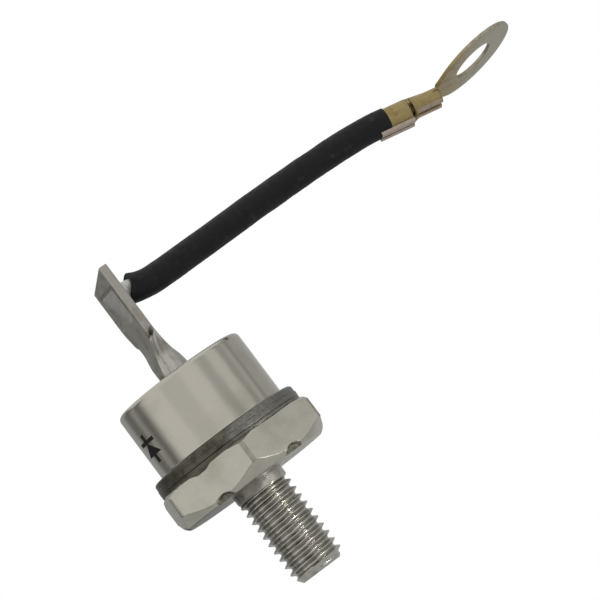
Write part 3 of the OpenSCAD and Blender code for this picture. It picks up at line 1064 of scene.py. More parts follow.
    def thread_profile(self) -> list[Pair]:
        """Draw one pitch of the thread.

        Returns:
            Distance along the pitch from the middle of a crest, and depth there.
        """
        crest = self.pitch * self.CREST
        half = self.pitch / 2
        flank = self.thread_depth / math.tan(math.radians(self.flank_deg))
        side = [(0.0, 0.0), (crest * self.CREST_END, 0.0), (crest * self.CREST_TURN, self.crest_edge_fall)]
        side += [(crest + flank * along, self.thread_depth * fall) for along, fall in self.FLANK]
        side.append((between(crest + flank, half, self.ROOT[0]), self.thread_depth * self.ROOT[1]))
        side.append((half, self.thread_depth))
        return side + [(self.pitch - x, depth) for x, depth in reversed(side[1:-1])]

    def stud_radius(self, z: float, depth: float) -> float:
        """Measure the stud.

        Args:
            z: The height.
            depth: Depth of the full thread there.

        Returns:
            Radius of the stud, with its neck and its bevel.
        """
        fade = ease((-z - self.neck_length) / self.runout)
        into_bevel = max(0.0, -self.stud_length + self.bevel_length - z) / self.bevel_length
        return min(self.stud_r - depth * fade, self.stud_r - self.bevel_width * into_bevel)

    def stud(self) -> Mesh:
        """Make the stud with its right-handed thread, open at both ends.

        Returns:
            Points and faces of the skin.
        """
        profile = self.thread_profile()
        per_turn = len(profile)
        steps = self.TURN_STEPS
        rows = (int((self.stud_length + self.stud_root) / self.pitch) + self.SPARE_TURNS) * per_turn
        top = self.thread_start + self.TURNS_ABOVE * self.pitch
        lowest = self.tip_gap - self.stud_length
        points = []
        for j in range(rows):
            along, depth = profile[j % per_turn]
            start = top - (j // per_turn) * self.pitch - along
            for i, angle in enumerate(turns(steps)):
                z = min(max(start + self.pitch * i / steps, lowest), self.stud_root)
                points.append(polar(self.stud_radius(z, depth), angle, z))
        faces = []
        for j in range(per_turn, rows - 1):
            for i in range(steps):
                last = i == steps - 1
                corners = (
                    j * steps + i,
                    (j + 1) * steps + i,
                    (j + 1 - per_turn) * steps if last else (j + 1) * steps + i + 1,
                    (j - per_turn) * steps if last else j * steps + i + 1,
                )
                if len({round(points[c].z, 6) for c in corners}) > 1:
                    faces.append(corners)
        return points, faces

    def tone_at(self, place: Vector) -> BaseTone:
        """Choose the finish at a place of the hexagon.

        Args:
            place: The place.

        Returns:
            The finish's number.
        """
        reach = math.hypot(place.x, place.y)
        # The rounded corners are painted with shade
        if reach > self.corner_centre() + self.corner_round - self.corner_shade_band:
            return BaseTone.SHADED_CORNER
        turn = (math.atan2(place.y, place.x) - math.radians(self.turn_deg)) % self.SECTOR - self.SECTOR / 2
        deep = self.across_flats / 2 - reach * math.cos(turn)
        notch = self.notch_at(reach * math.sin(turn), place.z)
        # The notches are painted with shade
        in_notch_shade = self.notch_shade_from < deep < self.notch_depth + self.notch_shade_past
        if in_notch_shade and notch > self.notch_depth * self.NOTCH_RIM:
            return BaseTone.SHADED_NOTCH
        return BaseTone.BRIGHT

    def build(self) -> None:
        """Make the base as one piece."""
        hexagon = make_piece("base_hexagon", self.hexagon())
        tone(hexagon, self.tone_at)
        stud = make_piece("stud", self.stud(), sharp_deg=50.0)
        tone(stud, lambda place: BaseTone.STUD)
        work = bmesh.new()
        work.from_mesh(stud.data)
        ends = [e for e in work.edges if e.is_boundary]
        bmesh.ops.edgeloop_fill(work, edges=ends, mat_nr=int(BaseTone.STUD))
        bmesh.ops.recalc_face_normals(work, faces=work.faces)
        work.from_mesh(hexagon.data)
        work.to_mesh(hexagon.data)
        work.free()
        bpy.data.objects.remove(stud)
        smooth(hexagon, sharp_deg=32.0)
        others = (NOTCH_SHADE_METAL, CORNER_SHADE_METAL, NICKEL_STUD)
        dress(hexagon, NICKEL_BASE, "plated_base", "stud_base", others=others)


@dataclass
class Case:
    """Weld ring, cap and glass seal."""

    ring_r: float = 11.75
    ring_bore: float = 7.1
    ring_low: float = 5.5
    ring_high: float = 6.8
    ring_round: float = 0.1
    ring_top_round: float = 0.06
    groove_z: float = 6.0
    groove: float = 0.12
    rough_coarse: float = 0.05
    rough_fine: float = 0.03
    run_azimuth_deg: float = 223.0
    run_half: float = 5.2
    run_depth: float = 0.55
    run_middle: float = -0.6
    run_width: float = 1.6
    run_ripple: float = 0.12
    run_rim: float = 0.12
    run_sunk: float = 0.1
    run_top: float = 0.05
    run_belly: float = 0.09
    run_foot: float = 0.02
    flat_away: float = 11.7
    flange_r: float = 11.6
    flange_top: float = 7.85
    flange_round: float = 0.6
    flange_fillet: float = 0.3
    burnt_above: float = 0.12
    cap_r: float = 10.1
    cap_bore: float = 9.1
    cap_top: float = 18.25
    cap_round: float = 0.9
    roof_low: float = 17.05
    roof_round: float = 0.8
    seal_r: float = 5.0
    seal_edge_round: float = 0.15
    collar_r: float = 6.0
    collar_fillet: float = 0.4
    hidden_round: float = 0.05
    seal_low: float = 15.1
    seal_top: float = 17.9
    tube_r: float = 2.35
    meniscus: float = 0.22

    SEGMENTS: ClassVar[int] = 192
    CAP_CURVE_STEPS: ClassVar[int] = 8
    RUN_STEPS: ClassVar[int] = 60
    SEAL_SEGMENTS: ClassVar[int] = 96
    SEAL_STEPS: ClassVar[int] = 12
    MENISCUS_POWER: ClassVar[int] = 6
    # Coarse waves of the welded edge to its radius, and fine waves to a coarse one
    ROUGH_WAVES: ClassVar[float] = 4.0
    FINER: ClassVar[float] = 3.0

    def rough_edge(self, angle: float, height: float) -> float:
        """Measure the unevenness of the welded edge.

        Args:
            angle: Angle round the axis, in radians.
            height: The height.

        Returns:
            Addition to the radius.
        """
        place = polar(self.ROUGH_WAVES, angle, height)
        waves = self.rough_coarse * noise.noise(place) + self.rough_fine * noise.noise(self.FINER * place)
        return waves - self.rough_coarse

    def build_ring(self) -> None:
        """Make the weld ring."""
        lip = self.groove / 2
        section = soften_loop(
            [
                (self.ring_bore, self.ring_low), (self.ring_r, self.ring_low),
                (self.ring_r, self.groove_z - lip), (self.ring_r - self.groove, self.groove_z),
                (self.ring_r, self.groove_z + lip), (self.ring_r, self.ring_high),
                (self.ring_bore, self.ring_high),
            ],
            [
                self.hidden_round, self.ring_round, self.ring_round, self.ring_round / 2, self.ring_round,
                self.ring_top_round, self.hidden_round,
            ],
        )
        band = revolve(section, self.SEGMENTS, self.rough_edge)
        ring = make_piece("weld_ring_band", joined([band, self.dark_lump()]))
        dress(ring, BURNT_STEEL, "dark_steel", "weld_ring")

    def dark_lump(self) -> Mesh:
        """Make the dark lump that hangs over one flat of the hexagon, below the ring.

        Returns:
            Points and faces of the skin.
        """
        turn = Matrix.Rotation(math.radians(self.run_azimuth_deg), 4, "Z")
        high = self.ring_low + self.run_sunk
        rows = []
        for across in spread(-self.run_half, self.run_half, self.RUN_STEPS):
            fade = 1 - (across / self.run_half) ** 2
            drop = self.run_depth * math.exp(-((across - self.run_middle) / self.run_width) ** 2)
            drop += self.run_ripple * noise.noise(Vector((across, 0, 0)))
            low = self.ring_low - max(0.0, (self.run_rim + drop) * fade)
            section = [
                (-self.run_sunk, high), (self.run_top, high), (self.run_belly * fade, (low + high) / 2),
                (self.run_foot, low), (-self.run_sunk, low),
            ]
            rows.append([turn @ Vector((self.flat_away + out, across, z)) for out, z in section])
        return sweep(rows)

    def build_cap(self) -> None:
        """Make the cap with its flange and collar."""
        section = soften_loop(
            [
                (self.cap_bore, self.ring_high), (self.flange_r, self.ring_high),
                (self.flange_r, self.flange_top), (self.cap_r, self.flange_top),
                (self.cap_r, self.cap_top), (self.seal_r, self.cap_top),
                (self.seal_r, self.seal_low), (self.collar_r, self.seal_low),
                (self.collar_r, self.roof_low), (self.cap_bore, self.roof_low),
            ],
            [
                self.hidden_round, self.hidden_round, self.flange_round, self.flange_fillet, self.cap_round,
                self.seal_edge_round, self.hidden_round, self.hidden_round, self.collar_fillet,
                self.roof_round,
            ],
            self.CAP_CURVE_STEPS,
        )
        cap = make_piece("cap_can", revolve(section, self.SEGMENTS))
        tone(cap, lambda place: place.z < self.flange_top + self.burnt_above)
        dress(cap, NICKEL_CAP, "plated_cap", "cap_shell", others=(BURNT_STEEL,))

    def build_seal(self) -> None:
        """Make the glass seal, which creeps up the metal at both of its edges."""
        section = []
        for share in spread(0, 1, self.SEAL_STEPS):
            creep = (2 * share - 1) ** self.MENISCUS_POWER
            radius = between(self.tube_r, self.seal_r, share)
            section.append((radius, self.seal_top - self.meniscus * (1 - creep)))
        section += [(self.seal_r, self.seal_low), (self.tube_r, self.seal_low)]
        seal = make_piece("seal_bead", revolve(section, self.SEAL_SEGMENTS))
        dress(seal, SEAL_GLASS, "seal_glass", "glass_seal")

    def build(self) -> None:
        """Make the pieces of the case."""
        self.build_ring()
        self.build_cap()
        self.build_seal()


@dataclass
class PolarityMark:
    """Printed sign on the cap: a triangle that points at a bar, with a line through both."""

    camera_azimuth: float
    cap_r: float = 10.1
    angle_from_camera: float = -58.0
    low: float = 9.8
    high: float = 14.2
    line_width: float = 0.8
    triangle: Pair = (10.95, 12.8)
    triangle_width: float = 4.0
    tip_width: float = 0.12
    bar: Pair = (12.7, 13.25)
    bar_width: float = 4.1
    overlap: float = 0.05
    proud: float = 0.012
    sunk: float = 0.05

    STEPS: ClassVar[int] = 10

    def patch(self, low: float, high: float, width_low: float, width_high: float) -> Mesh:
        """Make a thin printed patch that follows the cap.

        Args:
            low: Height of its lower edge.
            high: Height of its upper edge.
            width_low: Width of its lower edge.
            width_high: Width of its upper edge.

        Returns:
            Points and faces of the patch.
        """
        middle = math.radians(self.camera_azimuth + self.angle_from_camera)
        sides = spread(-0.5, 0.5, self.STEPS)
        walk = there_and_back(self.cap_r + self.proud, self.cap_r - self.sunk, sides)
        rows = []
        for share in spread(0, 1, self.STEPS):
            width = between(width_low, width_high, share) / self.cap_r
            z = between(low, high, share)
            rows.append([polar(radius, middle + side * width, z) for radius, side in walk])
        return sweep(rows)

    def build(self) -> None:
        """Make the sign as one piece."""
        mark = make_piece("polarity_mark", joined([
            self.patch(self.low, self.triangle[0] + self.overlap, self.line_width, self.line_width),
            self.patch(*self.triangle, self.triangle_width, self.tip_width),
            self.patch(*self.bar, self.bar_width, self.bar_width),
            self.patch(self.bar[1] - self.overlap, self.high, self.line_width, self.line_width),
        ]))
        dress(mark, INK, "black_sleeve")


class TubeTone(IntEnum):
    """Finishes of the terminal tube, by their number."""

    PRESSED = 0
    # Painted light and shade on the pressed panel
    LIT_PANEL = 1
    # Painted shade along the crease and the panel's border
    SHADED_LINE = 2
    # Painted light on the rounded leaves
    LIT_ROUND = 3


@dataclass
class TerminalTube:
    """Tube that leaves the glass round and ends as a flat blade.

    Each pair of heights is the stretch over which a change happens.
    """

    tube_r: float = 2.35
    low: float = 14.1
    press: Pair = (21.0, 24.8)
    press_near: Pair = (16.5, 24.8)
    press_far: Pair = (19.0, 24.8)
    press_back: Pair = (17.5, 24.8)
    far_waist: float = 0.9
    waist_low: Pair = (20.5, 23.6)
    waist_high: Pair = (23.6, 27.8)
    blade_end: float = 35.25
    blade_width: float = 7.1
    blade_thickness: float = 1.35
    blade_offset: float = 0.65
    blade_slant_deg: float = 15.0
    square_edge: Pair = (24.2, 26.2)
    edge_round: float = 0.12
    corner_round: float = 0.2
    round_from: float = 0.015
    pit_z: float = 24.9
    pit_depth: float = 0.6
    pit_size: float = 0.45
    pit_lean: float = 0.7
    fold_depth: float = 0.42
    fold_width: float = 0.34
    fold_below: float = 7.0
    fold_above: float = 0.45
    fold_drift: float = 0.215
    fold_end: float = 17.5
    fold_fade: float = 2.0
    # Width of the painted shade along the crease
    fold_shade: float = 0.32
    panel_low: float = 28.05
    panel_length: float = 5.2
    panel_margin: float = 0.9
    panel_depth: float = 0.2
    panel_wall: float = 0.35
    panel_rim: float = 0.7
    # Reach of the painted shade below and above the panel, and its width at the panel's side
    shade_below: float = 0.4
    shade_above: float = 0.2
    shade_width: float = 0.4
    fine_to: float = 29.0

    FACE_STEPS: ClassVar[int] = 50
    EDGE_STEPS: ClassVar[int] = 50
    FINE_LEVELS: ClassVar[int] = 90
    COARSE_LEVELS: ClassVar[int] = 32
    # Powers of the curve across an edge, where it is round and where it is square
    EDGE_POWERS: ClassVar[Pair] = (2.0, 12.0)
    # How much softer the panel's wall is at its far side and at its foot
    SOFT_SIDE: ClassVar[float] = 3.0
    SOFT_FOOT: ClassVar[float] = 4.0

    @staticmethod
    def done(z: float, stretch: Pair) -> float:
        """Share of a smooth change that is done at a height, for the stretch in which it happens."""
        return ease((z - stretch[0]) / (stretch[1] - stretch[0]))

    def pressed_to(self, z: float, inset: float = 0.0) -> Triple:
        """Find where the press leaves the tube's two broad faces at a height.

        Args:
            z: The height.
            inset: How far the faces are drawn in.

        Returns:
            Place of the front face at its near and its far edge, and of the back face.
        """
        front = self.blade_thickness / 2 + self.blade_offset
        back = self.blade_thickness / 2 - self.blade_offset
        near_x = inset - between(self.tube_r, front, self.done(z, self.press_near))
        far_x = inset - between(self.tube_r, front, self.done(z, self.press_far))
        back_x = between(self.tube_r, back, self.done(z, self.press_back)) - inset
        return near_x, far_x, back_x

    def fold_at(self, z: float) -> float:
        """Measure the fold in the tube's two edges.

        Args:
            z: The height.

        Returns:
            Depth of the fold there.
        """
        above = z - self.pit_z
        reach = self.fold_above if above > 0 else -self.fold_below
        return self.fold_depth * math.exp(-above / reach) * ease((z - self.fold_end) / self.fold_fade)

    def off_fold(self, x: float, z: float, middle: float) -> float:
        """Distance of a place on an edge from its fold, which drifts off the edge's middle."""
        return abs(x - middle + self.fold_drift * max(0.0, self.pit_z - z))

    def panel_at(self, y: float, z: float) -> float:
        """Measure the pressed panel on the blade's broad face.

        Args:
            y: Place across the blade.
            z: The height.

        Returns:
            Depth of the panel there.
        """
        half = self.blade_width / 2 - self.panel_margin
        up = z - self.panel_low
        inside = min((half - y) / self.SOFT_SIDE, half + y, up / self.SOFT_FOOT, self.panel_length - up)
        return self.panel_depth * ease(inside / self.panel_wall + 0.5)

    def section(self, z: float, inset: float = 0.0) -> list[Vector]:
        """Draw one section of the pressed tube.

        Args:
            z: Height of the section.
            inset: How far its outline is drawn in.

        Returns:
            Points of the section, in order.
        """
        near_x, far_x, back_x = self.pressed_to(z, inset)
        half_y = between(self.tube_r, self.blade_width / 2, self.done(z, self.press)) - inset
        waist = self.far_waist * (self.done(z, self.waist_low) - self.done(z, self.waist_high))
        near = self.edge(z, near_x, back_x, half_y)
        far = self.edge(z, far_x, back_x, half_y - waist)
        lean = math.tan(math.radians(self.blade_slant_deg)) * self.done(z, (self.panel_low, self.blade_end))
        outline = [(x, -y) for x, y in near]
        outline += [(back_x, y) for y in spread(-near[-1][1], far[-1][1], self.FACE_STEPS)[1:-1]]
        outline += reversed(far)
        for share in spread(0, 1, self.FACE_STEPS)[1:-1]:
            y = between(far[0][1], -near[0][1], share)
            outline.append((between(far_x, near_x, share) + self.panel_at(y, z), y))
        return [Vector((x, y, z - y * lean)) for x, y in outline]

    def edge(self, z: float, low_x: float, high_x: float, half_y: float) -> list[Pair]:
        """Draw one narrow edge of a section, with its fold and its pit.

        Args:
            z: Height of the section.
            low_x: Where the edge begins.
            high_x: Where it ends.
            half_y: How far it reaches from the tube's axis.

        Returns:
            Places across the edge and its reach at each of them.
        """
        squared = self.done(z, self.square_edge)
        power = between(*self.EDGE_POWERS, squared)
        corner = self.corner_round * squared
        middle = (low_x + high_x) / 2
        fold = self.fold_at(z)
        pit = self.pit_depth * math.exp(-((z - self.pit_z) / self.pit_size) ** 2)
        points = []
        first = math.acos(low_x / self.tube_r)
        last = math.acos(high_x / self.tube_r)
        for angle in spread(first, last, self.EDGE_STEPS):
            x = self.tube_r * math.cos(angle)
            y = half_y * (1 - abs(math.cos(angle)) ** power) ** (1 / power)
            off_pit = abs(x - middle - self.pit_lean * (z - self.pit_z))
            dent = fold * math.exp(-self.off_fold(x, z, middle) / self.fold_width)
            dent += pit * max(0.0, 1 - off_pit / self.pit_size)
            into_corner = max(0.0, corner - min(x - low_x, high_x - x))
            y -= corner - math.sqrt(max(0.0, corner**2 - into_corner**2))
            points.append((x, y - dent * ease(y / half_y)))
        return points

    def tone_at(self, place: Vector) -> TubeTone:
        """Choose the finish at a place.

        Args:
            place: The place.

        Returns:
            The finish's number.
        """
        near_x, far_x, back_x = self.pressed_to(place.z)
        front_x = near_x if place.y < 0 else far_x
        # Below the pit, the rounded leaves are painted with light
        if place.z < self.pit_z and front_x + self.round_from < place.x < back_x - self.round_from:
            off_fold = self.off_fold(place.x, place.z, (front_x + back_x) / 2)
            # The crease is painted with shade
            return TubeTone.SHADED_LINE if off_fold < self.fold_shade / 2 else TubeTone.LIT_ROUND
        # The pressed panel is painted lighter, with painted shade towards its lower end
        half = self.blade_width / 2 - self.panel_margin
        top = self.panel_low + self.panel_length
        on_face = place.x < -self.blade_offset and -half - self.panel_rim < place.y < half
        if not on_face or not self.panel_low - self.shade_below < place.z < top + self.shade_above:
            return TubeTone.PRESSED
        # The panel's border is painted with shade
        at_edge = place.y < self.shade_width - half or place.z > top - self.panel_wall
        return TubeTone.SHADED_LINE if at_edge else TubeTone.LIT_PANEL

    def build(self) -> None:
        """Make the tube as one piece."""
        levels = [self.low, *spread(self.fold_end, self.fine_to, self.FINE_LEVELS)]
        levels += spread(self.fine_to, self.blade_end, self.COARSE_LEVELS)[1:-1]
        rows = [self.section(z) for z in levels]
        third = self.edge_round / 3
        for below, inset in ((self.edge_round, 0.0), (third, third), (0.0, self.edge_round)):
            rows.append(self.section(self.blade_end - below, inset))
        tube = make_piece("pressed_tube", sweep(rows), sharp_deg=30.0)
        tone(tube, self.tone_at)
        others = (LIT_PANEL_METAL, LINE_SHADE_METAL, LIT_LEAF_METAL)
        dress(tube, TUBE_METAL, "plated_tube", "terminal_tube", others=others)


@dataclass
class Lead:
    """Short sleeved lead that runs from the blade to the ring terminal."""

    sleeve_r: float = 2.1
    sleeve_slack: float = 0.06
    bore_r: float = 1.44
    end_slant: float = 0.3
    end_back: float = 0.45
    end_flare: float = 0.3
    ragged: float = 0.12
    strand_r: float = 0.3
    twist_per_mm: float = 0.35
    solder_ends: Pair = (-0.15, 3.0)
    solder_radii: Pair = (1.85, 1.4)
    solder_tip: float = 0.02
    solder_lumps: float = 0.08
    corners: list[Vector] = field(init=False)
    route: list[Vector] = field(init=False)
    sleeve_route: list[Vector] = field(init=False)

    START: ClassVar[Triple] = (0.025, 0.0, 31.9)
    # The route's points, counted from the blade's face
    ROUTE: ClassVar[tuple[Triple, ...]] = (
        (0, 0, 0), (1.2, 0, 0), (2.2, 0, -0.2), (3.6, 0, -0.5), (5.6, 0, -0.7), (8.6, -0.1, -0.7),
        (12, -0.2, -0.6), (16, -0.5, -0.5), (20, -0.8, -0.4), (24, -1.2, -0.3), (28, -1.7, -0.25),
        (32, -2.3, -0.25), (36, -3, -0.3), (40.2, -3.82, -0.45), (44.4, -4.72, -0.78), (47.35, -5.4, -1.33),
    )
    SLEEVE_FIRST: ClassVar[int] = 2
    SMOOTH_STEPS: ClassVar[int] = 6
    SLEEVE_SIDES: ClassVar[int] = 40
    # Steps of the sleeve's route that its cut end and its rim reach, and those where its bore is drawn
    END_STEPS: ClassVar[int] = 12
    RAGGED_STEPS: ClassVar[int] = 3
    BORE_STEPS: ClassVar[tuple[int, ...]] = (14, 7, 2, 0)
    # Height of the sleeve's lumps, and how fast they change along it and round it
    LUMPS: ClassVar[tuple[Triple, ...]] = ((0.05, 0.35, 1.0), (0.02, 1.4, 3.0))
    RAGGED_WAVES: ClassVar[float] = 2.2
    # Radius and number of the strands in each layer
    LAYERS: ClassVar[tuple[tuple[float, int], ...]] = ((0.0, 1), (0.5, 6), (0.88, 9))
    STRAND_SIDES: ClassVar[int] = 8
    SOLDER_STEPS: ClassVar[int] = 14
    SOLDER_SIDES: ClassVar[int] = 36
    # How fast the solder narrows, how blunt its end is, and how fast its lumps change round it
    SOLDER_NARROWS: ClassVar[float] = 1.8
    SOLDER_POWER: ClassVar[int] = 8
    SOLDER_WAVES: ClassVar[float] = 1.3

    def __post_init__(self) -> None:
        """Draw the routes of the wire and of its sleeve."""
        self.corners = [Vector(self.START) + Vector(p) for p in self.ROUTE]
        self.route = self.curve(self.corners)
        self.sleeve_route = self.curve(self.corners[self.SLEEVE_FIRST:])

    def curve(self, corners: Sequence[Vector]) -> list[Vector]:
        """Draw a smooth line through points.

        Args:
            corners: The points that it passes.

        Returns:
            Points close together on the line.
        """
        line = [corners[0] * 2 - corners[1], *corners, corners[-1] * 2 - corners[-2]]
        done = [corners[0]]
        for a, b, c, d in zip(line, line[1:], line[2:], line[3:]):
            for s in spread(0, 1, self.SMOOTH_STEPS)[1:]:
                bend = (2 * a - 5 * b + 4 * c - d) * s**2
                done.append(0.5 * (2 * b + (c - a) * s + bend + (3 * b - a - 3 * c + d) * s**3))
        return done

    @staticmethod
    def directions(line: Sequence[Vector]) -> list[tuple[Vector, Vector, Vector]]:
        """Find the directions at each point of a line.

        Args:
            line: Points of the line.

        Returns:
            Directions along, across and above the line.
        """
        done = []
        for i in range(len(line)):
            along = (line[min(i + 1, len(line) - 1)] - line[max(i - 1, 0)]).normalized()
            across = Vector((0, 0, 1)).cross(along).normalized()
            done.append((along, across, along.cross(across)))
        return done

    def end_direction(self) -> Vector:
        """Direction of the lead where its terminal begins."""
        return (self.corners[-1] - self.corners[-2]).normalized()

    def near_end(self, step: int) -> float:
        """Share of the cut end's form at a step of the sleeve's route, 1 at the blade."""
        return max(0.0, 1 - step / self.END_STEPS)

    def cut_at(self, step: int, angle: float) -> float:
        """How far the slanted cut moves the sleeve along its route, at a step and an angle."""
        return (self.end_slant * math.sin(angle) * self.sleeve_r - self.end_back) * self.near_end(step)

    def sleeve_mesh(self) -> Mesh:
        """Make the sleeve, with a slanted cut at the blade and a bore that shows there.

        Returns:
            Points and faces of the skin.
        """
        line = self.sleeve_route
        frames = self.directions(line)
        angles = turns(self.SLEEVE_SIDES)
        rows = []
        for step in self.BORE_STEPS:
            along, across, above = frames[step]
            rows.append([
                line[step] + around(across, above, a) * self.bore_r + along * self.cut_at(step, a)
                for a in angles
            ])
        for step, (point, (along, across, above)) in enumerate(zip(line, frames)):
            near_rim = max(0.0, 1 - step / self.RAGGED_STEPS)
            row = []
            for angle in angles:
                out = around(across, above, angle)
                lumps = sum(high * noise.noise(point * far + out * wide) for high, far, wide in self.LUMPS)
                flare = self.end_flare * self.near_end(step) ** 2 * max(0.0, math.sin(angle))
                reach = self.sleeve_r - self.sleeve_slack + lumps + flare
                rag = self.ragged * noise.noise(out * self.RAGGED_WAVES) * near_rim
                row.append(point + out * reach + along * (self.cut_at(step, angle) + rag))
            rows.append(row)
        return sweep(rows)

    def strands_mesh(self) -> Mesh:
        """Make the wire's twisted strands.

        Returns:
            Points and faces of their skins.
        """
        line = self.route
        frames = self.directions(line)
        reached = [0.0]
        for a, b in zip(line, line[1:]):
            reached.append(reached[-1] + (b - a).length)
        strands = []
        for layer_r, count in self.LAYERS:
            for start in turns(count):
                rows = []
                for point, (_, across, above), far in zip(line, frames, reached):
                    centre = point + around(across, above, start + far * self.twist_per_mm) * layer_r
                    rows.append([
                        centre + around(across, above, a) * self.strand_r for a in turns(self.STRAND_SIDES)
                    ])
                strands.append(sweep(rows))
        return joined(strands)

    def build_solder(self) -> None:
        """Make the lump of solder on the blade."""
        across = Vector((0, 1, 0))
        above = Vector((0, 0, 1))
        rows = []
        for share in spread(0, 1, self.SOLDER_STEPS):
            x = between(*self.solder_ends, share)
            blunt = math.sqrt(max(0.0, 1 - share**self.SOLDER_POWER))
            narrowed = ease(share * self.SOLDER_NARROWS)
            radius = between(*self.solder_radii, narrowed) * blunt + self.solder_tip
            row = []
            for angle in turns(self.SOLDER_SIDES):
                out = around(across, above, angle)
                lumps = noise.noise(Vector((x, self.SOLDER_WAVES * out.y, self.SOLDER_WAVES * out.z)))
                reach = radius * (1 + self.solder_lumps * lumps)
                row.append(Vector(self.START) + Vector((x, 0, 0)) + out * reach)
            rows.append(row)
        solder = make_piece("solder_lump", sweep(rows), sharp_deg=60.0)
        dress(solder, SOLDER, "solder", "lead_solder")

    def build(self) -> tuple[bpy.types.Object, bpy.types.Object]:
        """Make the lead's pieces.

        Returns:
            The sleeve and the strands.
        """
        sleeve = make_piece("sleeve", self.sleeve_mesh(), sharp_deg=50.0)
        dress(sleeve, SLEEVE, "black_sleeve", "lead_sleeve")
        strands = make_piece("strands", self.strands_mesh(), sharp_deg=60.0)
        dress(strands, STRAND, "tinned_wire", "lead_wire")
        self.build_solder()
        return sleeve, strands


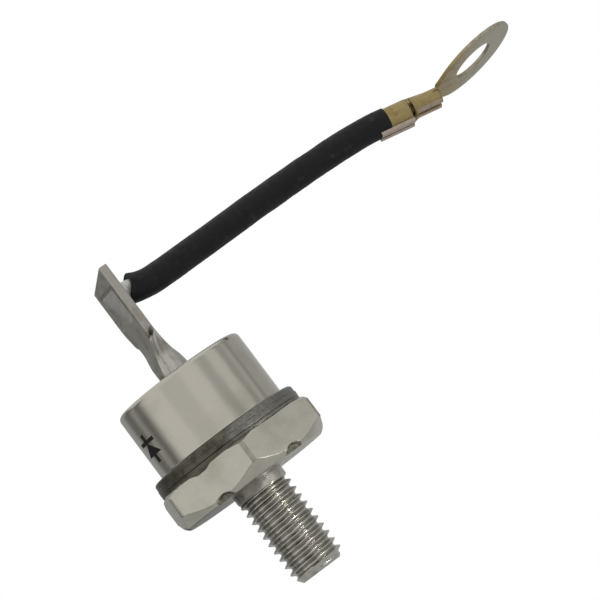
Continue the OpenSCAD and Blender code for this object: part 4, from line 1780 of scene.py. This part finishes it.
@dataclass
class RingTerminal:
    """Sheet brass terminal with two crimps and a ring."""

    place: Vector
    direction: Vector
    twist_deg: float = -10.0
    sheet: float = 0.55
    wire_r: float = 1.33
    sleeve_crimp: float = 3.6
    crimp_gap: float = 0.8
    wire_crimp: float = 4.2
    squeeze: float = 0.6
    seam_deg: float = 8.0
    mouth: float = 0.3
    ring_r: float = 7.2
    hole_r: float = 3.3
    ring_reach: float = 7.5
    ring_bend_deg: float = 16.0
    tongue_half: float = 1.85
    spine_half: float = 1.8
    spine_inset: float = 0.04
    wing_low: float = 2.1
    wing_high: float = 1.5
    wing_half: float = 1.2
    wing_gap: float = 0.25
    wing_back: float = 1.8
    neck_back: float = 1.6
    neck_reach: float = 1.4
    neck_half: float = 2.3
    neck_arc_deg: float = 75.0
    neck_inset: float = 0.03
    edge_soft: float = 0.12
    bare_strip: float = 0.45

    CRIMP_LEVELS: ClassVar[int] = 12
    CRIMP_STEPS: ClassVar[int] = 48
    STRAP_LEVELS: ClassVar[int] = 14
    SPINE_STEPS: ClassVar[int] = 12
    NECK_STEPS: ClassVar[int] = 24
    WING_LEVELS: ClassVar[int] = 6
    RING_STEPS: ClassVar[int] = 150
    TONGUE_STEPS: ClassVar[int] = 120
    # Angle from the ring's tip at which the plate's points get closer, for the tongue's corners
    TONGUE_FROM: ClassVar[float] = 0.75 * math.pi
    # Shares of an edge's softness, along and inwards, at the middle of its curve
    EDGE_MIDDLE: ClassVar[Pair] = (0.5, 0.3)
    # How many times its own size a flared mouth reaches along the crimp
    MOUTH_REACH: ClassVar[float] = 3.0
    # Where a crimp's ends begin to curl into the wire, how steeply, and how narrow that stays
    CURL_FROM: ClassVar[float] = 0.75
    CURL: ClassVar[float] = 1.2
    CURL_NARROW: ClassVar[float] = 3.0
    # How soon beside the middle a flattened curve has its whole flat stretch
    FLAT_SOON: ClassVar[float] = 4.0

    def wire_high(self) -> float:
        """Height of the wire's crimp above the wire's middle."""
        return self.wire_r * self.squeeze + self.sheet

    def second_crimp(self) -> float:
        """Where the wire's crimp begins."""
        return self.sleeve_crimp + self.crimp_gap

    def barrel_end(self) -> float:
        """Where the wire's crimp ends."""
        return self.second_crimp() + self.wire_crimp

    def matrix(self) -> Matrix:
        """Find the terminal's place at the lead's end.

        Returns:
            The matrix that carries the terminal's own axes there.
        """
        turn = Matrix.Rotation(math.atan2(self.direction.y, self.direction.x), 4, "Z")
        climb = Matrix.Rotation(-math.asin(self.direction.z), 4, "Y")
        twist = Matrix.Rotation(math.radians(self.twist_deg), 4, "X")
        return Matrix.Translation(self.place) @ turn @ climb @ twist

    def flattened(self, radius: float, side: float, half_flat: float) -> float:
        """Place across a curl that has a flat stretch in its middle, for a side from -1 to 1."""
        return radius * side + math.copysign(half_flat * min(1.0, abs(side) * self.FLAT_SOON), side)

    def crimp(
        self, start: float, length: float, half_flat: float, flatten: float, mouth: float = 0.0
    ) -> Mesh:
        """Make one crimp: a band curled round the wire, with its seam underneath.

        Args:
            start: Where it begins along the terminal.
            length: Length of the crimp.
            half_flat: Half the flat stretch of its upper and lower sides.
            flatten: Height of the wire in it, as a share of its width.
            mouth: How far its first edge is flared, outwards and backwards.

        Returns:
            Points and faces of the crimp.
        """
        first = start - mouth
        last = start + length
        inner = self.wire_r * flatten
        soft = self.edge_soft
        ends = [(0.0, soft), (soft * self.EDGE_MIDDLE[0], soft * self.EDGE_MIDDLE[1]), (soft, 0.0)]
        stations = [(first + x, inset) for x, inset in ends]
        stations += [(x, 0.0) for x in spread(first, last, self.CRIMP_LEVELS)[1:-1]]
        stations += [(last - x, inset) for x, inset in reversed(ends)]
        seam = math.radians(self.seam_deg)
        angles = spread(-math.pi / 2 + seam, 1.5 * math.pi - seam, self.CRIMP_STEPS)
        rows = []
        for x, inset in stations:
            flare = mouth * max(0.0, 1 - (x - first) / (self.MOUTH_REACH * self.mouth)) ** 2
            walk = there_and_back(inner + self.sheet - inset + flare, inner + inset + flare, angles)
            row = []
            for radius, angle in walk:
                side = math.cos(angle)
                curl = max(0.0, -math.sin(angle) - self.CURL_FROM) * self.CURL * radius
                curl *= 1 - min(1.0, abs(side) * self.CURL_NARROW)
                y = self.flattened(radius, side, half_flat)
                row.append(Vector((x, y, radius * math.sin(angle) + curl)))
            rows.append(row)
        return sweep(rows)

    def spine(self) -> Mesh:
        """Make the strap above the wire, which slopes from the first crimp to the end of the second.

        Returns:
            Points and faces of the skin.
        """
        outer = self.wire_r + self.sheet
        reach = math.asin(self.spine_half / outer)
        angles = spread(math.pi / 2 - reach, math.pi / 2 + reach, self.SPINE_STEPS)
        walk = there_and_back(outer - self.spine_inset, self.wire_r + self.spine_inset, angles)
        rows = []
        for x in spread(self.sleeve_crimp / 2, self.barrel_end(), self.STRAP_LEVELS):
            share = max(0.0, (x - self.sleeve_crimp) / (self.barrel_end() - self.sleeve_crimp))
            fall = share * (outer - self.wire_high())
            rows.append([Vector((x, r * math.cos(a), r * math.sin(a) - fall)) for r, a in walk])
        return sweep(rows)

    def neck(self) -> Mesh:
        """Make the sheet between the second crimp and the ring, which opens from a trough to a flat.

        Returns:
            Points and faces of the skin.
        """
        end = self.barrel_end()
        slope = math.tan(math.radians(self.ring_bend_deg))
        inner = self.wire_r * self.squeeze
        half_flat = self.wire_r - inner
        arc = math.radians(self.neck_arc_deg)
        sides = spread(-1, 1, self.NECK_STEPS)
        walk = there_and_back(inner + self.sheet - self.neck_inset, inner + self.neck_inset, sides)
        rows = []
        for share in spread(0, 1, self.STRAP_LEVELS):
            x = between(end - self.neck_back, end + self.neck_reach, share)
            opened = ease(share)
            rise = slope * max(0.0, x - end)
            row = []
            for radius, side in walk:
                y = self.flattened(radius, math.sin(side * arc), half_flat)
                z = radius * math.cos(side * arc)
                flat_y = side * self.neck_half
                row.append(Vector((x, between(y, flat_y, opened), between(z, radius, opened) + rise)))
            rows.append(row)
        return sweep(rows)

    def wings(self) -> Mesh:
        """Make the first crimp's two folded wings, which reach back under the sleeve.

        Returns:
            Points and faces of their skins.
        """
        bars = []
        for side in (-1, 1):
            inner = side * self.wing_gap
            outer = side * self.wing_half
            loop = [
                (inner, -self.wing_low), (outer, -self.wing_low),
                (outer, -self.wing_high), (inner, -self.wing_high),
            ]
            section = soften_loop(loop, [self.edge_soft] * 4)
            stations = spread(-self.wing_back, self.sleeve_crimp, self.WING_LEVELS)
            bars.append(sweep([[Vector((x, y, z)) for y, z in section] for x in stations]))
        return joined(bars)

    def plate_reach(self, angle: float) -> float:
        """Measure from the ring's centre to the plate's outer edge, tongue included.

        Args:
            angle: Angle from the ring's tip, in radians.

        Returns:
            The distance.
        """
        corner = math.pi - math.atan2(self.tongue_half, self.ring_reach)
        tangent = corner - math.acos(self.ring_r / math.hypot(self.ring_reach, self.tongue_half))
        turn = abs(math.remainder(angle, math.tau))
        if turn < tangent:
            return self.ring_r
        if turn < corner:
            return self.ring_r / math.cos(turn - tangent)
        return -self.ring_reach / math.cos(turn)

    def plate(self) -> Mesh:
        """Make the tongue and ring, bent up from the end of the wire's crimp.

        Returns:
            Points and faces of the skin.
        """
        angles = spread(-self.TONGUE_FROM, self.TONGUE_FROM, self.RING_STEPS)
        angles += spread(self.TONGUE_FROM, math.tau - self.TONGUE_FROM, self.TONGUE_STEPS)[1:-1]
        rows = []
        for angle in angles:
            reach = self.plate_reach(angle)
            loop = [(self.hole_r, 0), (reach, 0), (reach, self.sheet), (self.hole_r, self.sheet)]
            rows.append([polar(r, angle, z) for r, z in soften_loop(loop, [self.edge_soft] * 4)])
        bend = Matrix.Rotation(math.radians(-self.ring_bend_deg), 4, "Y")
        lift = Matrix.Translation((self.barrel_end(), 0, self.wire_r * self.squeeze))
        return moved(sweep(rows, closed=True), lift @ bend @ Matrix.Translation((self.ring_reach, 0, 0)))

    def bare_at(self, place: Vector) -> bool:
        """Tell whether a place is on the worn underside of the crimps.

        Args:
            place: The place, on the terminal's own axes.

        Returns:
            Whether the brass is bare there.
        """
        in_second = place.x > self.second_crimp()
        bare_below = self.bare_strip - self.wire_high() if in_second else -self.wing_high
        return place.x < self.barrel_end() and place.z < bare_below

    def build(self) -> bpy.types.Object:
        """Make the terminal as one piece.

        Returns:
            The terminal.
        """
        half_flat = self.wire_r * (1 - self.squeeze)
        mesh = joined([
            self.crimp(0.0, self.sleeve_crimp, 0.0, 1.0),
            self.crimp(self.second_crimp(), self.wire_crimp, half_flat, self.squeeze, self.mouth),
            self.spine(),
            self.neck(),
            self.plate(),
            self.wings(),
        ])
        terminal = make_piece("ring_lug", moved(mesh, self.matrix()), sharp_deg=40.0)
        home = self.matrix().inverted()
        tone(terminal, lambda place: self.bare_at(home @ place))
        dress(terminal, BRASS, "brass_terminal", "ring_terminal", others=(BARE_BRASS,))
        return terminal


@dataclass
class SiliconStack:
    """Sealed pieces inside the cap, which keep their CAD shapes."""

    nodes: dict[str, bpy.types.Object]

    FINISHES: ClassVar[dict[str, Finish]] = {
        "base_solder": SOLDER,
        "lower_disc": MOLYBDENUM,
        "silicon_die": SILICON,
        "edge_coating": COATING,
        "upper_disc": MOLYBDENUM,
        "cup_solder": SOLDER,
        "contact_cup": COPPER,
        "inner_lead": COPPER,
    }

    def build(self) -> None:
        """Dress the CAD nodes of the stack."""
        for name, finish in self.FINISHES.items():
            materials = self.nodes[name].data.materials
            materials.clear()
            materials.append(finish.material())
            LOG.info("%s: %s", name, finish.name)


def main() -> None:
    """Build the scene round the frame."""
    logging.basicConfig(level=logging.INFO, format="%(name)s %(message)s")
    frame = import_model()
    view = ViewPoint()
    view.build()
    lead = Lead()
    sleeve, strands = lead.build()
    terminal = RingTerminal(lead.corners[-1], lead.end_direction()).build()
    Studio(view.azimuth()).build()
    StudBase().build()
    Case().build()
    PolarityMark(view.azimuth()).build()
    TerminalTube().build()
    SiliconStack(frame["nodes"]).build()


if __name__ == "__main__":
    main()
